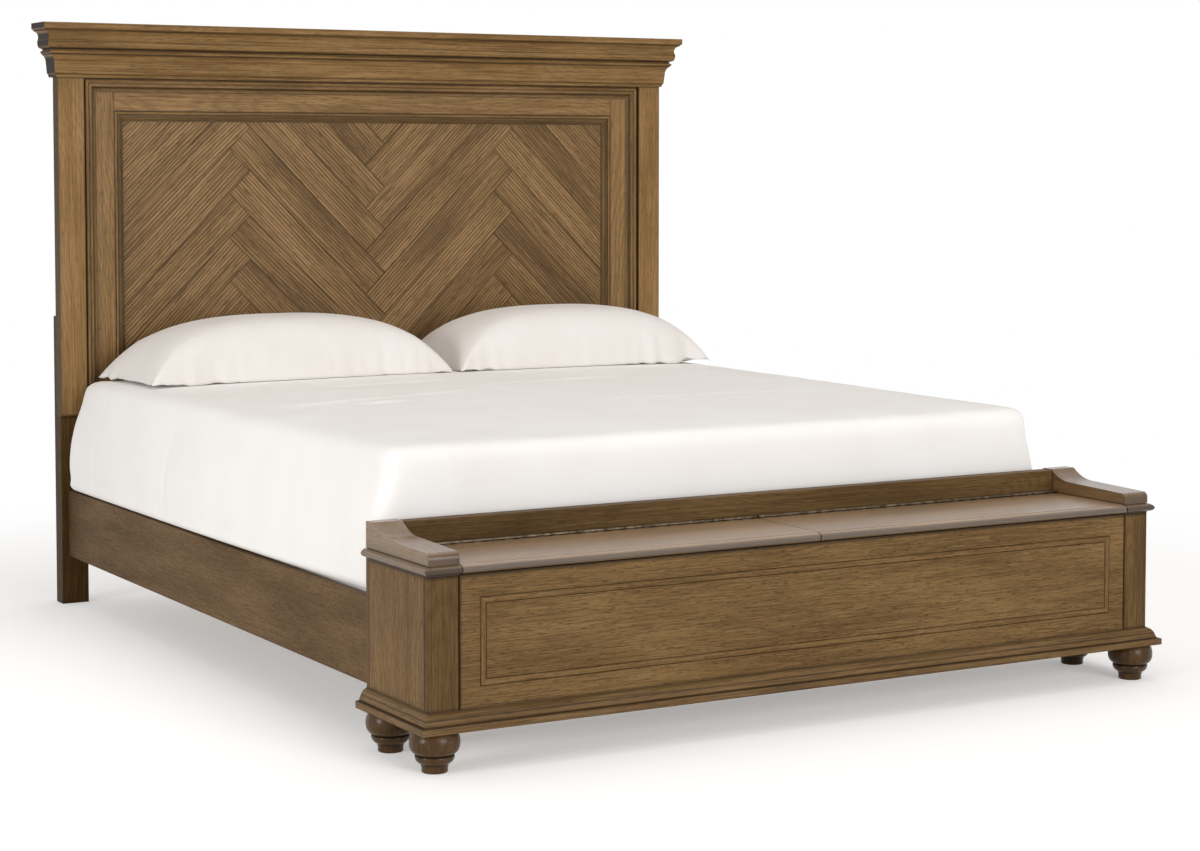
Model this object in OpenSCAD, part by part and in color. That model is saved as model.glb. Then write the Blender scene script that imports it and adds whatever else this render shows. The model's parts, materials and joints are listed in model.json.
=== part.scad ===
// Storage bed: a panelled headboard under a mitred crown, two side rails with slats,
// and a lidded bench on bun feet across the foot. Millimetres. X runs across the bed,
// Y from the foot to the headboard, Z up. The origin is on the floor under the middle.

/* [Mattress and pillows] */
// Width of the mattress
mattress_w = 1930; // [1830:10:2000]
// Length of the mattress
mattress_l = 2032; // [1900:4:2130]
// Thickness of the mattress
mattress_t = 356; // [260:2:400]
// Plan radius of the mattress corners
mattress_corner_r = 70; // [40:5:110]
// Rounding of the mattress along its top edge
mattress_edge_r = 60; // [40:5:90]
// How far the mattress and its sheet swell out over the side rails
mattress_swell = 35; // [0:1:45]
// How far the mattress top rises in the middle
mattress_crown = 8; // [0:1:20]
// Width of a pillow
pillow_w = 925; // [700:5:940]
// Depth of a pillow, front to back
pillow_d = 410; // [360:5:620]
// Thickness of a pillow at its middle
pillow_t = 195; // [100:1:220]
// Room between the two pillows
pillow_gap = 10; // [5:5:120]
// How far the pair of pillows lies to the right of the middle
pillow_shift = 30; // [-40:5:40]
// Distance from the headboard to the pillows
pillow_back = 22; // [16:1:160]

/* [Side rails and slats] */
// Room between the mattress and each side rail
side_gap = 13; // [5:1:25]
// Room between the mattress and the two ends, both together
end_gap = 55; // [20:1:90]
// Thickness of a side rail
rail_t = 25; // [20:1:30]
// Height of a side rail
rail_h = 196; // [150:1:240]
// Height of a side rail's lower edge above the floor
rail_z = 140; // [110:1:170]
// Top of the slats below the top edge of the side rails
slat_drop = 26; // [15:1:50]
// Thickness of a slat
slat_t = 19; // [12:1:25]
// Width of a slat
slat_w = 75; // [50:1:90]
// Number of slats
slat_count = 13; // [9:1:15]
// Width of a slat ledger
ledger_w = 22; // [15:1:30]
// Height of a slat ledger
ledger_h = 38; // [25:1:50]
// Width of the centre beam
beam_w = 45; // [35:1:60]
// Height of the centre beam
beam_h = 70; // [50:1:90]
// Width of a centre leg
centre_leg_w = 40; // [30:1:44]
// Steel thickness of the rail brackets
bracket_t = 3; // [2:0.5:5]
// Length of the bracket's wing along the rail
bracket_l = 70; // [50:5:100]
// Width of the bracket's wing on the leg or the bench
bracket_w = 31; // [28:1:40]
// Height of the rail brackets
bracket_h = 90; // [70:1:110]

/* [Headboard] */
// Height of the headboard over its crown
head_h = 1707; // [1500:1:1800]
// Height of the headboard's lower edge above the floor
head_z = 555; // [480:1:600]
// Thickness of the headboard body
head_t = 46; // [42:1:60]
// How far the headboard reaches past the outside of each side rail
head_over = 22; // [10:1:40]
// Width of a pilaster
pilaster_w = 79; // [65:1:100]
// Chamfer on a pilaster's lower end
pilaster_chamfer = 7; // [2:1:12]
// Width of the outer moulding
outer_mould_w = 39; // [30:1:50]
// Depth of the stiles and rails behind the pilasters
stile_set = 20; // [14:1:24]
// Width of a stile and of the top rail
stile_w = 58; // [45:1:80]
// Height of the bottom rail
bottom_rail_h = 97; // [60:1:140]
// Width of the inner moulding
inner_mould_w = 30; // [22:1:38]
// Depth of the herringbone field behind the pilasters
field_set = 32; // [28:1:34]
// Thickness of a herringbone leaf
leaf_t = 3; // [2:0.5:4]
// Width of a herringbone leaf
leaf_w = 95; // [70:1:120]
// Length of a herringbone leaf
leaf_l = 640; // [560:5:720]
// Joint between herringbone leaves
leaf_gap = 0.4; // [0.2:0.1:1]
// Place of the herringbone's valley, to the right of the middle
valley_x = 37; // [-60:1:60]
// Height of one corner of the herringbone's valley
valley_z = 1225; // [1150:1:1290]

/* [Crown] */
// Height of the crown
crown_h = 157; // [140:1:175]
// How far the crown's fascia stands out
crown_proj = 56; // [50:1:65]
// Height of the crown's fascia
fascia_h = 18; // [14:1:24]
// Height of the upper crown moulding
cap_h = 78; // [72:1:84]

/* [Headboard legs] */
// How far a leg's face is set behind the pilaster
leg_set = 10; // [4:1:14]
// Thickness of the strap that laps up behind the headboard
lap_t = 20; // [16:1:26]
// Height of the strap's top end
lap_z = 849; // [720:1:900]
// Radius of the bolts that hold the frame together
bolt_r = 4; // [3:0.5:5]
// How deep those bolts reach into the wood
bolt_in = 28; // [20:1:34]

/* [Bench] */
// How far the bench reaches past the outside of each side rail
bench_over = 2; // [0:1:8]
// Depth of the bench, front to back
bench_d = 314; // [280:1:360]
// Height of the bench body's top edge
body_top = 425; // [380:1:440]
// Thickness of the front boards
front_t = 20; // [16:1:24]
// Thickness of the side panels
side_t = 18; // [14:1:24]
// Thickness of the inner end panels
end_t = 15; // [12:1:20]
// Thickness of the back panel
back_t = 14; // [10:1:20]
// Thickness of the bottom panel
bottom_t = 12; // [8:1:16]
// Thickness of the divider
divider_t = 16; // [12:1:24]
// Width of a front post
post_w = 73; // [60:1:85]
// Rounding of a post's outer front corner
post_round = 4; // [1:0.5:8]
// Width of an arm
arm_w = 75; // [66:1:90]
// Height of the arms at their back end
arm_back_z = 507; // [490:1:530]
// Height of the arms near their front end
arm_front_z = 475; // [465:1:482]
// Height of the gallery rail's top edge
gallery_z = 505; // [480:1:530]
// Thickness of the gallery rail
gallery_t = 40; // [30:1:45]
// Open joint between the front panel and a post
post_joint = 1.5; // [0.5:0.5:3]
// Chamfer along that joint
joint_chamfer = 2.5; // [1:0.5:4]

/* [Bench mouldings] */
// Height of the base moulding's underside above the floor
base_z = 90; // [80:1:110]
// Height of the base moulding
base_h = 43; // [38:1:50]
// How far the base moulding stands out
base_proj = 28; // [24:1:34]
// Distance from the bench's posts to the bead frame on the front panel
bead_in = 51; // [20:1:200]
// Height of the bead frame's lower edge
bead_z0 = 180; // [160:1:210]
// Height of the bead frame's upper edge
bead_z1 = 373; // [320:1:390]
// Width of the bead
bead_w = 14; // [10:1:20]
// How far the bead stands out of the panel
bead_out = 2.5; // [1:0.5:5]
// Depth of the channel that the bead lies in
bead_channel = 4; // [2:0.5:6]
// Quirk on each side of the bead
bead_quirk = 1; // [0.5:0.5:2]

/* [Bun feet] */
// Largest radius of a bun foot
foot_r = 55.5; // [47:0.5:58]
// Radius of a foot's collar
foot_collar_r = 43.5; // [38:0.5:45]
// Radius of a foot's base ring
foot_base_r = 28.5; // [22:0.5:32]
// Distance of a foot's centre from the bench's outer side
foot_in_x = 27; // [26:1:60]
// Distance of a foot's centre from the bench's front
foot_in_y = 27; // [24:1:60]
// Distance of a rear foot's centre from the bench's back
foot_in_back = 66; // [40:1:90]

/* [Lids and hinges] */
// Thickness of a lid
lid_t = 21; // [18:1:26]
// How far a lid's nosing stands out in front
lid_nose = 13; // [8:1:18]
// Gap under a lid, which the bumpers fill
lid_gap = 2; // [1:0.5:4]
// Gap at each end of a lid
lid_side_gap = 2; // [1:0.5:3]
// Plan radius of a lid's front corners
lid_corner_r = 4; // [2:0.5:8]
// Distance of the hinge pin from the bench's front
hinge_in = 258; // [235:1:262]
// Outer radius of a hinge knuckle
knuckle_r = 3.5; // [3:0.25:5]
// Radius of the hinge pin
hinge_pin_r = 1.4; // [1:0.1:1.8]
// Length of a hinge knuckle
knuckle_l = 20; // [15:1:40]
// Thickness of a hinge leaf
leaf_plate_t = 1.2; // [0.8:0.1:1.4]
// Height of a hinge leaf
leaf_plate_h = 18; // [12:1:20]

/* [Lid stays] */
// Length of each stay link between its pins
stay_l = 130; // [110:1:140]
// Depth of the lid's stay pin below the hinge pin
stay_drop = 40; // [38:1:50]
// Angle of the box's stay pin below the hinge pin, from level
stay_box_angle = 75; // [65:1:85]
// Width of a stay link
link_w = 14; // [12:1:18]
// Thickness of a stay link
link_t = 2.5; // [2:0.5:3]
// Radius of a stay pin
stay_pin_r = 3; // [2.5:0.25:4]

/* [Clearances] */
// Running clearance on the radius of a pin
pin_clear = 0.08; // [0.05:0.01:0.1]
// Side clearance between stay links
link_clear = 0.5; // [0.3:0.1:1]
// Clearance under soft pieces and over the bumpers
rest_clear = 0.3; // [0.2:0.1:0.5]
// Clearance round bolts and dowels in their holes
bolt_clear = 0.3; // [0.1:0.1:0.5]

/* [Hidden] */

OAK = "#8B7150";
OAK_DARK = "#6B563F";
RAIL_BROWN = "#5E4C3A";
PINE = "#B99B6B";
BOARD = "#A58C66";
STEEL = "#8A8C90";
BRASS = "#8C7A4E";
LINEN = "#F1EDE8";

// Places along the bed, from the front of the base moulding to the back of the crown
overall_l = base_proj + bench_d + mattress_l + end_gap + head_t + lap_t;
bench_y = -overall_l / 2 + base_proj;
bench_back = bench_y + bench_d;
pil_y = bench_back + mattress_l + end_gap;
head_back = pil_y + head_t;
lap_back = head_back + lap_t;

// Places across the bed
rail_in = mattress_w / 2 + side_gap;
rail_out = rail_in + rail_t;
head_half = rail_out + head_over;
bench_half = rail_out + bench_over;
pil_in = head_half - pilaster_w;
stile_out = pil_in - outer_mould_w;
stile_in = stile_out - stile_w;
field_half = stile_in - inner_mould_w;
post_in = bench_half - post_w;
bead_half = post_in - bead_in;
arm_in = bench_half - arm_w;
end_in = arm_in - end_t;

// Heights
floor_of_bench = 24;
rail_top = rail_z + rail_h;
slat_top = rail_top - slat_drop;
ledger_top = slat_top - slat_t;
crown_z = head_h - crown_h;
top_rail_z1 = crown_z - outer_mould_w;
top_rail_z0 = top_rail_z1 - stile_w;
bottom_rail_z1 = head_z + bottom_rail_h;
field_z0 = bottom_rail_z1 + inner_mould_w;
field_z1 = top_rail_z0 - inner_mould_w;
core_y = pil_y + field_set + leaf_t;
lid_z0 = body_top + lid_gap;
lid_z1 = lid_z0 + lid_t;
bottom_z = base_z + floor_of_bench;
mattress_z = slat_top + rest_clear;
mattress_top = mattress_z + mattress_t;
// The mattress's sides lean in by this much between the rails' tops and the top edge
mattress_lean = 4;
mattress_fold = 24;
shoulder = mattress_w / 2 - mattress_lean - mattress_edge_r;
// The crowned top is this much lower at the pillows' front edge than in the middle
pillow_reach = pillow_back + pillow_d - mattress_edge_r;
pillow_dip = mattress_crown * pow(1 - pillow_reach / shoulder, 2);

// The hinge line: its pin lies over the joint between the lid and the hinge rail
hinge_y = bench_y + hinge_in;
hinge_z = lid_z1 + knuckle_r + 0.2;
leaf_air = 0.4;
lid_back = hinge_y - leaf_air - leaf_plate_t;
hinge_rail_y = hinge_y + leaf_air + leaf_plate_t;
lid_half_gap = 1;
lid_out = arm_in - lid_side_gap;
lid_l = lid_out - lid_half_gap;

// The stay is a rhombus: hinge pin, box pin, elbow and lid pin
lid_pin_angle = asin(stay_drop / stay_l);
lid_pin = [hinge_y - stay_l * cos(lid_pin_angle), hinge_z - stay_drop];
box_pin = [hinge_y - stay_l * cos(stay_box_angle), hinge_z - stay_l * sin(stay_box_angle)];
elbow = box_pin + lid_pin - [hinge_y, hinge_z];
plate_t = 1.5;
box_plate_x = end_in - plate_t;
lower_x1 = box_plate_x - link_clear;
lower_x0 = lower_x1 - link_t;
upper_x1 = lower_x0 - link_clear;
upper_x0 = upper_x1 - link_t;
bracket_x1 = upper_x0 - link_clear;
bracket_x0 = bracket_x1 - plate_t;

// Fasteners and brackets
bolt_head_h = 5;
head_recess = bolt_head_h + 1;
leg_bolt_z = [head_z + (lap_z - head_z) * 0.25, head_z + (lap_z - head_z) * 0.78];
leg_bolt_x = head_half - pilaster_w / 2;
bracket_z0 = rail_z + (rail_h - bracket_h) / 2;
bracket_z1 = bracket_z0 + bracket_h;
bracket_z = [bracket_z0 + bracket_h / 5, bracket_z1 - bracket_h / 5];
bracket_bolt_x = rail_in - (bracket_w + bracket_t) / 2;
knuckle_gap = 0.3;
elbow_clear = 0.3;

// Slatted base
ledger_end = 90;
slat_end_gap = 3;
glide_h = 26;
glide_pad_h = 8;
glide_r = 5;
glide_stem = 24;
beam_l = mattress_l + end_gap - 21;
centre_leg_y = [for (f = [0.16, 0.5, 0.84]) bench_back + 1 + beam_l * f];
mattress_back_share = 0.2;

// Feet and corner blocks
block_l = 90;
foot_bolt_in = 32;
foot_places = [for (s = [-1, 1], y = [bench_y + foot_in_y, bench_back - foot_in_back])
    [s * (bench_half - foot_in_x), y]];

// An arm's top: its level back end, the sweep down, and the slope of the long part
arm_level = 33;
arm_sweep = 73;
arm_knee = 40;
arm_fall = 0.026;
arm_nose_r = 14;

// Points on an arc, and on a curve of three control points
function arc(cx, cy, r, a0, a1, n = 8) =
    [for (i = [0:n]) let (a = a0 + (a1 - a0) * i / n) [cx + r * cos(a), cy + r * sin(a)]];
function bend(p, q, r, n = 12) =
    [for (i = [0:n]) let (t = i / n) (1 - t) * (1 - t) * p + 2 * t * (1 - t) * q + t * t * r];

// Straight runs: along_x takes a profile in Y and Z, along_y one in X and Z
module along_x(x0, x1) {
    translate([x0, 0, 0]) rotate([90, 0, 90]) linear_extrude(x1 - x0) children();
}
module along_y(y0, y1) {
    translate([0, y1, 0]) rotate([90, 0, 0]) linear_extrude(y1 - y0) children();
}
module box(x0, x1, y0, y1, z0, z1) {
    translate([x0, y0, z0]) cube([x1 - x0, y1 - y0, z1 - z0]);
}
module both_sides() {
    children();
    mirror([1, 0, 0]) children();
}
module mirrored(side) {
    mirror([side < 0 ? 1 : 0, 0, 0]) children();
}
// A pin or hole along X at a point in Y and Z
module rod_x(x0, x1, yz, r) {
    translate([x0, yz[0], yz[1]]) rotate([0, 90, 0]) cylinder(h = x1 - x0, r = r, $fn = 48);
}
module rod_y(y0, y1, x, z, r) {
    translate([x, y1, z]) rotate([90, 0, 0]) cylinder(h = y1 - y0, r = r, $fn = 32);
}

// Crown, frieze and base mouldings: a run across the front and a mitred return each side.
// The profile lists how far it stands out and its height, from its top to its bottom.
module returned_moulding(profile, half, face_y, back_y) {
    reach = max([for (p = profile) p[0]]) + 1;
    z1 = max([for (p = profile) p[1]]);
    z0 = min([for (p = profile) p[1]]);
    front = concat([for (p = profile) [face_y - p[0], p[1]]], [[face_y, z0], [face_y, z1]]);
    side = concat([for (p = profile) [half + p[0], p[1]]], [[half, z0], [half, z1]]);
    intersection() {
        along_x(-half - reach, half + reach) polygon(front);
        translate([0, 0, z0]) linear_extrude(z1 - z0)
            polygon([[-half, face_y], [-half - reach, face_y - reach],
                     [half + reach, face_y - reach], [half, face_y]]);
    }
    both_sides() intersection() {
        along_y(face_y - reach, back_y) polygon(side);
        translate([0, 0, z0]) linear_extrude(z1 - z0)
            polygon([[half, face_y], [half + reach, face_y - reach],
                     [half + reach, back_y], [half, back_y]]);
    }
}

// A mitred frame of moulding that faces the foot. The profile lists the distance in from
// the frame's outer edge and the depth behind face_y, and back is the moulding's back.
module frame_moulding(profile, half, z0, z1, w, face_y, back, with_bottom) {
    reach = w;
    top = concat([for (p = profile) [face_y + p[1], z1 - p[0]]],
                 [[face_y + back, z1 - w], [face_y + back, z1]]);
    side = concat([for (p = profile) [half - p[0], face_y + p[1]]],
                  [[half - w, face_y + back], [half, face_y + back]]);
    low = with_bottom ? z0 + w : z0;
    intersection() {
        along_x(-half, half) polygon(top);
        along_y(face_y - reach, face_y + back + reach)
            polygon([[-half, z1], [half, z1], [half - w, z1 - w], [-half + w, z1 - w]]);
    }
    if (with_bottom) intersection() {
        along_x(-half, half) polygon([for (p = top) [p[0], z0 + z1 - p[1]]]);
        along_y(face_y - reach, face_y + back + reach)
            polygon([[-half, z0], [half, z0], [half - w, z0 + w], [-half + w, z0 + w]]);
    }
    both_sides() intersection() {
        translate([0, 0, z0]) linear_extrude(z1 - z0) polygon(side);
        along_y(face_y - reach, face_y + back + reach)
            polygon([[half, z0], [half, z1], [half - w, z1 - w], [half - w, low]]);
    }
}

// Headboard

module pilaster(side) {
    c = pilaster_chamfer;
    color(OAK) mirrored(side) difference() {
        along_x(pil_in, head_half)
            polygon([[pil_y, crown_z], [pil_y, head_z + c], [pil_y + c, head_z],
                     [head_back, head_z], [head_back, crown_z]]);
        for (z = leg_bolt_z) rod_y(head_back - bolt_in - 2, head_back + 1, leg_bolt_x, z,
                                   bolt_r + bolt_clear);
    }
}
module pilaster_left() { pilaster(-1); }
module pilaster_right() { pilaster(1); }

module headboard_core() {
    color(BOARD) box(-pil_in, pil_in, core_y, head_back, head_z, crown_z);
}

module headboard_stiles() {
    color(OAK) both_sides() box(stile_in, stile_out, pil_y + stile_set, core_y, head_z, top_rail_z1);
}
module top_rail() {
    color(OAK) box(-stile_in, stile_in, pil_y + stile_set, core_y, top_rail_z0, top_rail_z1);
}
module bottom_rail() {
    color(OAK) box(-stile_in, stile_in, pil_y + stile_set, core_y, head_z, bottom_rail_z1);
}

// The outer moulding has a deep quirk, a round bead, a fillet and a cove
module outer_moulding() {
    quirk = 5;
    bead_r = 5.5;
    w = outer_mould_w;
    cove_r = stile_set - 8;
    cove = [for (p = arc(w - 2, 7, cove_r, 180, 90)) [p[0], p[1]]];
    profile = concat([[0, 13], [quirk, 13]], arc(quirk + bead_r, 2 + bead_r, bead_r, 180, 360),
        [[quirk + 2 * bead_r, 10], [quirk + 2 * bead_r + 1.5, 10], [quirk + 2 * bead_r + 1.5, 7]],
        cove, [[w, 7 + cove_r]]);
    color(OAK) frame_moulding(profile, pil_in, head_z, crown_z, w, pil_y, core_y - pil_y, false);
}

// The inner moulding stands a little out of the stiles and steps down to the field
module inner_moulding() {
    w = inner_mould_w;
    bead_r = 4;
    face = stile_set - 3;
    ogee_r = field_set - stile_set - 3;
    profile = concat([[0, stile_set + 2], [1.5, stile_set + 2]],
        arc(1.5 + bead_r, face + bead_r, bead_r, 180, 360),
        [[1.5 + 2 * bead_r, stile_set + 3], [11, stile_set + 3], [11, stile_set + 1], [15, stile_set + 1]],
        arc(w - 3, stile_set + 1, ogee_r, 180, 90), [[w, stile_set + 1 + ogee_r]]);
    color(OAK) frame_moulding(profile, stile_in, bottom_rail_z1, top_rail_z0, w, pil_y,
        core_y - pil_y, true);
}

// Oak leaves laid herringbone at 45 degrees: each square end butts against the side of
// the leaf that crosses it. A row of leaves climbs by leaf_w along both directions.
module herringbone_leaves() {
    climb = leaf_w * sqrt(2);
    rise = leaf_l / sqrt(2);
    first = floor((field_z0 - valley_z - rise) / climb) - 1;
    last = ceil((field_z1 - valley_z) / climb);
    column = round((field_half * 2) / (leaf_l * sqrt(2)) / 2);
    color(OAK) for (k = [first:last], j = [-column:column], cross = [0, 1]) {
        foot_z = valley_z + k * climb;
        foot_x = valley_x + j * leaf_l * sqrt(2) + (cross == 1 ? -climb / 2 : 0);
        x0 = cross == 1 ? foot_x - rise : foot_x - climb / 2;
        x1 = cross == 1 ? foot_x + climb / 2 : foot_x + rise;
        shows = foot_z < field_z1 - 20 && foot_z + rise + climb / 2 > field_z0 + 20
            && x0 < field_half - 20 && x1 > -field_half + 20;
        if (shows) along_y(pil_y + field_set, core_y) intersection() {
            translate([-field_half, field_z0]) square([2 * field_half, field_z1 - field_z0]);
            translate([valley_x, valley_z]) rotate(45)
                translate([j * leaf_l + (cross == 1 ? k - 1 : k) * leaf_w, -j * leaf_l + k * leaf_w])
                translate([leaf_gap / 2, leaf_gap / 2])
                square(cross == 1 ? [leaf_w - leaf_gap, leaf_l - leaf_gap]
                                  : [leaf_l - leaf_gap, leaf_w - leaf_gap]);
        }
    }
}

module crown_core() {
    color(BOARD) box(-head_half, head_half, pil_y, lap_back, crown_z, head_h);
}

// The upper moulding: fascia, cove, a rounded lobe and the deep notch under it
function cap_profile() = let (z1 = head_h, z0 = head_h - cap_h, p = crown_proj, w = crown_proj - 20)
    concat([[p - 0.5, z1], [p, z1 - 1], [p, z1 - fascia_h + 2], [p - 2, z1 - fascia_h], [p - 6, z1 - fascia_h - 3]],
        bend([p - 6, z1 - fascia_h - 5], [w + 1, z1 - fascia_h - 8], [w, z1 - fascia_h - 22], 8),
        bend([w, z1 - fascia_h - 24], [w + 1, z1 - fascia_h - 30], [w + 3, z1 - fascia_h - 34], 5),
        bend([w + 3, z1 - fascia_h - 38], [w + 2, z0 + 6], [w - 6, z0 + 5], 6),
        [[w - 12, z0 + 3], [w - 12, z0]]);

// The frieze moulding: a thumb-edged lip, a cove, a tall face and a chamfer
function frieze_profile() = let (z1 = head_h - cap_h, z0 = crown_z, p = crown_proj - 26)
    concat([[p - 6, z1]], arc(p - 4, z1 - 6, 4, 80, -40, 6),
        [[p - 4, z1 - 12], [p - 6, z1 - 12]],
        bend([p - 6, z1 - 14], [15, z1 - 20], [14, z1 - 36], 8),
        [[11, z0 + 12], [8, z0 + 8], [5, z0]]);

module crown_cap() {
    color(OAK) returned_moulding(cap_profile(), head_half, pil_y, lap_back);
}
module crown_frieze() {
    color(OAK) returned_moulding(frieze_profile(), head_half, pil_y, lap_back);
}

// A headboard leg: a square foot under the pilaster, and a strap up the back for the bolts
module leg(side) {
    color(OAK_DARK) mirrored(side) difference() {
        along_x(pil_in, head_half)
            polygon([[pil_y + leg_set, 0], [lap_back, 0], [lap_back, lap_z], [head_back, lap_z],
                     [head_back, head_z], [pil_y + leg_set, head_z]]);
        for (z = leg_bolt_z) {
            rod_y(head_back - 1, lap_back + 1, leg_bolt_x, z, bolt_r + bolt_clear);
            rod_y(lap_back - head_recess, lap_back + 1, leg_bolt_x, z, 2 * bolt_r + 2);
        }
        for (z = bracket_z) rod_y(pil_y, pil_y + leg_set + bolt_in + 2, bracket_bolt_x, z,
                                  bolt_r + bolt_clear);
    }
}
module leg_left() { leg(-1); }
module leg_right() { leg(1); }

// A hex bolt along Y: its head's underside is at y, and its shank runs towards +Y or -Y
module bolt_y(x, y, z, shank, way) {
    translate([x, y, z]) rotate([way > 0 ? -90 : 90, 0, 0]) {
        cylinder(h = shank, r = bolt_r, $fn = 32);
        translate([0, 0, -bolt_head_h]) cylinder(h = bolt_head_h + 0.01, r = 1.8 * bolt_r, $fn = 6);
    }
}
module frame_bolts() {
    color(STEEL) both_sides() {
        for (z = leg_bolt_z)
            bolt_y(leg_bolt_x, lap_back - head_recess, z, lap_t - head_recess + bolt_in, -1);
        for (z = bracket_z) {
            bolt_y(bracket_bolt_x, pil_y + leg_set - bracket_t, z, bracket_t + bolt_in, 1);
            bolt_y(bracket_bolt_x, bench_back + bracket_t, z, bracket_t + back_t - 2, -1);
        }
    }
}

// Side rails, their brackets and the slatted base

module side_rail(side) {
    e = 2;
    color(RAIL_BROWN) mirrored(side) along_y(bench_back, pil_y + leg_set)
        polygon([[rail_in, rail_z], [rail_out - e, rail_z], [rail_out, rail_z + e],
                 [rail_out, rail_top - e], [rail_out - e, rail_top], [rail_in + e, rail_top],
                 [rail_in, rail_top - e]]);
}
module side_rail_left() { side_rail(-1); }
module side_rail_right() { side_rail(1); }

// Angle brackets: one wing lies on the rail, the other on the leg or the bench's back
module rail_bracket(face_y, way) {
    wing = bracket_l * way;
    thick = bracket_t * way;
    difference() {
        union() {
            box(rail_in - bracket_t, rail_in, min(face_y, face_y + wing), max(face_y, face_y + wing),
                bracket_z0, bracket_z1);
            box(rail_in - bracket_w, rail_in - bracket_t + 0.01, min(face_y, face_y + thick),
                max(face_y, face_y + thick), bracket_z0, bracket_z1);
        }
        for (z = bracket_z) rod_y(face_y - 2 * bracket_t, face_y + 2 * bracket_t, bracket_bolt_x, z,
                                  bolt_r + bolt_clear);
    }
}
module rail_brackets() {
    color(STEEL) both_sides() {
        rail_bracket(bench_back, 1);
        rail_bracket(pil_y + leg_set, -1);
    }
}

module slat_ledgers() {
    color(PINE) both_sides()
        box(rail_in - ledger_w, rail_in, bench_back + ledger_end, pil_y + leg_set - ledger_end,
            ledger_top - ledger_h, ledger_top);
}
module slats() {
    first = bench_back + ledger_end + 8;
    last = pil_y + leg_set - ledger_end - 8 - slat_w;
    color(PINE) for (i = [0:slat_count - 1]) {
        y = first + (last - first) * i / (slat_count - 1);
        box(-rail_in + slat_end_gap, rail_in - slat_end_gap, y, y + slat_w, ledger_top, slat_top);
    }
}
module centre_beam() {
    color(PINE) box(-beam_w / 2, beam_w / 2, bench_back + 1, pil_y - 20, ledger_top - beam_h, ledger_top);
}
module centre_legs() {
    w = centre_leg_w / 2;
    color(PINE) for (y = centre_leg_y) difference() {
        box(-w, w, y - w, y + w, glide_h, ledger_top - beam_h);
        translate([0, y, glide_h - 1]) cylinder(h = glide_stem + 2, r = glide_r + bolt_clear, $fn = 32);
    }
}
// Levelling glides: a pad on the floor and a threaded stem up into each centre leg
module centre_glides() {
    color(STEEL) for (y = centre_leg_y) translate([0, y, 0]) {
        cylinder(h = glide_pad_h, r = 3 * glide_r, $fn = 48);
        cylinder(h = glide_h + glide_stem, r = glide_r, $fn = 32);
        translate([0, 0, glide_h - 6]) cylinder(h = 6, r = 1.9 * glide_r, $fn = 6);
    }
}

// Bench across the foot

module post(side) {
    c = joint_chamfer;
    r = post_round;
    color(OAK) mirrored(side) translate([0, 0, base_z]) linear_extrude(body_top - base_z)
        polygon(concat([[post_in, bench_y + c], [post_in + c, bench_y]],
            arc(bench_half - r, bench_y + r, r, -90, 0, 5),
            [[bench_half, bench_y + front_t - 1.5], [bench_half - 1.5, bench_y + front_t],
             [post_in, bench_y + front_t]]));
}
module post_left() { post(-1); }
module post_right() { post(1); }

module bead_ring(half, z0, z1, w, y0, y1) {
    difference() {
        box(-half, half, y0, y1, z0, z1);
        box(-half + w, half - w, y0 - 1, y1 + 1, z0 + w, z1 - w);
    }
}
module front_panel() {
    c = joint_chamfer;
    x = post_in - post_joint;
    q = bead_quirk;
    color(OAK) difference() {
        translate([0, 0, base_z]) linear_extrude(body_top - base_z)
            polygon([[-x, bench_y + c], [-x + c, bench_y], [x - c, bench_y], [x, bench_y + c],
                     [x, bench_y + front_t], [-x, bench_y + front_t]]);
        bead_ring(bead_half + q, bead_z0 - q, bead_z1 + q, bead_w + 2 * q, bench_y - 1,
                  bench_y + bead_channel);
    }
}
// The mitred bead stands in its channel with a quirk on each side
module panel_bead() {
    crest = [for (i = [0:10]) let (a = 18 * i)
        [bead_w / 2 * (1 - cos(a)), 1 - (1 + bead_out) * sin(a)]];
    color(OAK) frame_moulding(crest, bead_half, bead_z0, bead_z1, bead_w, bench_y, bead_channel, true);
}

module side_panel(side) {
    e = 1.5;
    y0 = bench_y + front_t;
    y1 = bench_back - back_t;
    color(OAK) mirrored(side) translate([0, 0, base_z]) linear_extrude(body_top - base_z)
        polygon([[bench_half - side_t, y0], [bench_half - e, y0], [bench_half, y0 + e],
                 [bench_half, y1 - e], [bench_half - e, y1], [bench_half - side_t, y1]]);
}
module side_panel_left() { side_panel(-1); }
module side_panel_right() { side_panel(1); }

module end_panels() {
    color(BOARD) both_sides()
        box(end_in, arm_in, bench_y + front_t, bench_back - back_t, bottom_z + bottom_t, body_top);
}
module back_panel() {
    e = 1.5;
    y0 = bench_back - back_t;
    color(OAK_DARK) difference() {
        translate([0, 0, base_z]) linear_extrude(body_top - base_z)
            polygon([[-bench_half, y0 + e], [-bench_half + e, y0], [bench_half - e, y0],
                     [bench_half, y0 + e], [bench_half, bench_back], [-bench_half, bench_back]]);
        for (z = bracket_z, s = [-1, 1])
            rod_y(y0 - 1, bench_back + 1, s * bracket_bolt_x, z, bolt_r + bolt_clear);
    }
}
module bottom_panel() {
    x = bench_half - side_t;
    color(BOARD) box(-x, x, bench_y + front_t, bench_back - back_t, bottom_z, bottom_z + bottom_t);
}
module divider() {
    color(BOARD) box(-divider_t / 2, divider_t / 2, bench_y + front_t, bench_back - back_t,
                     bottom_z + bottom_t, body_top);
}
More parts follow.
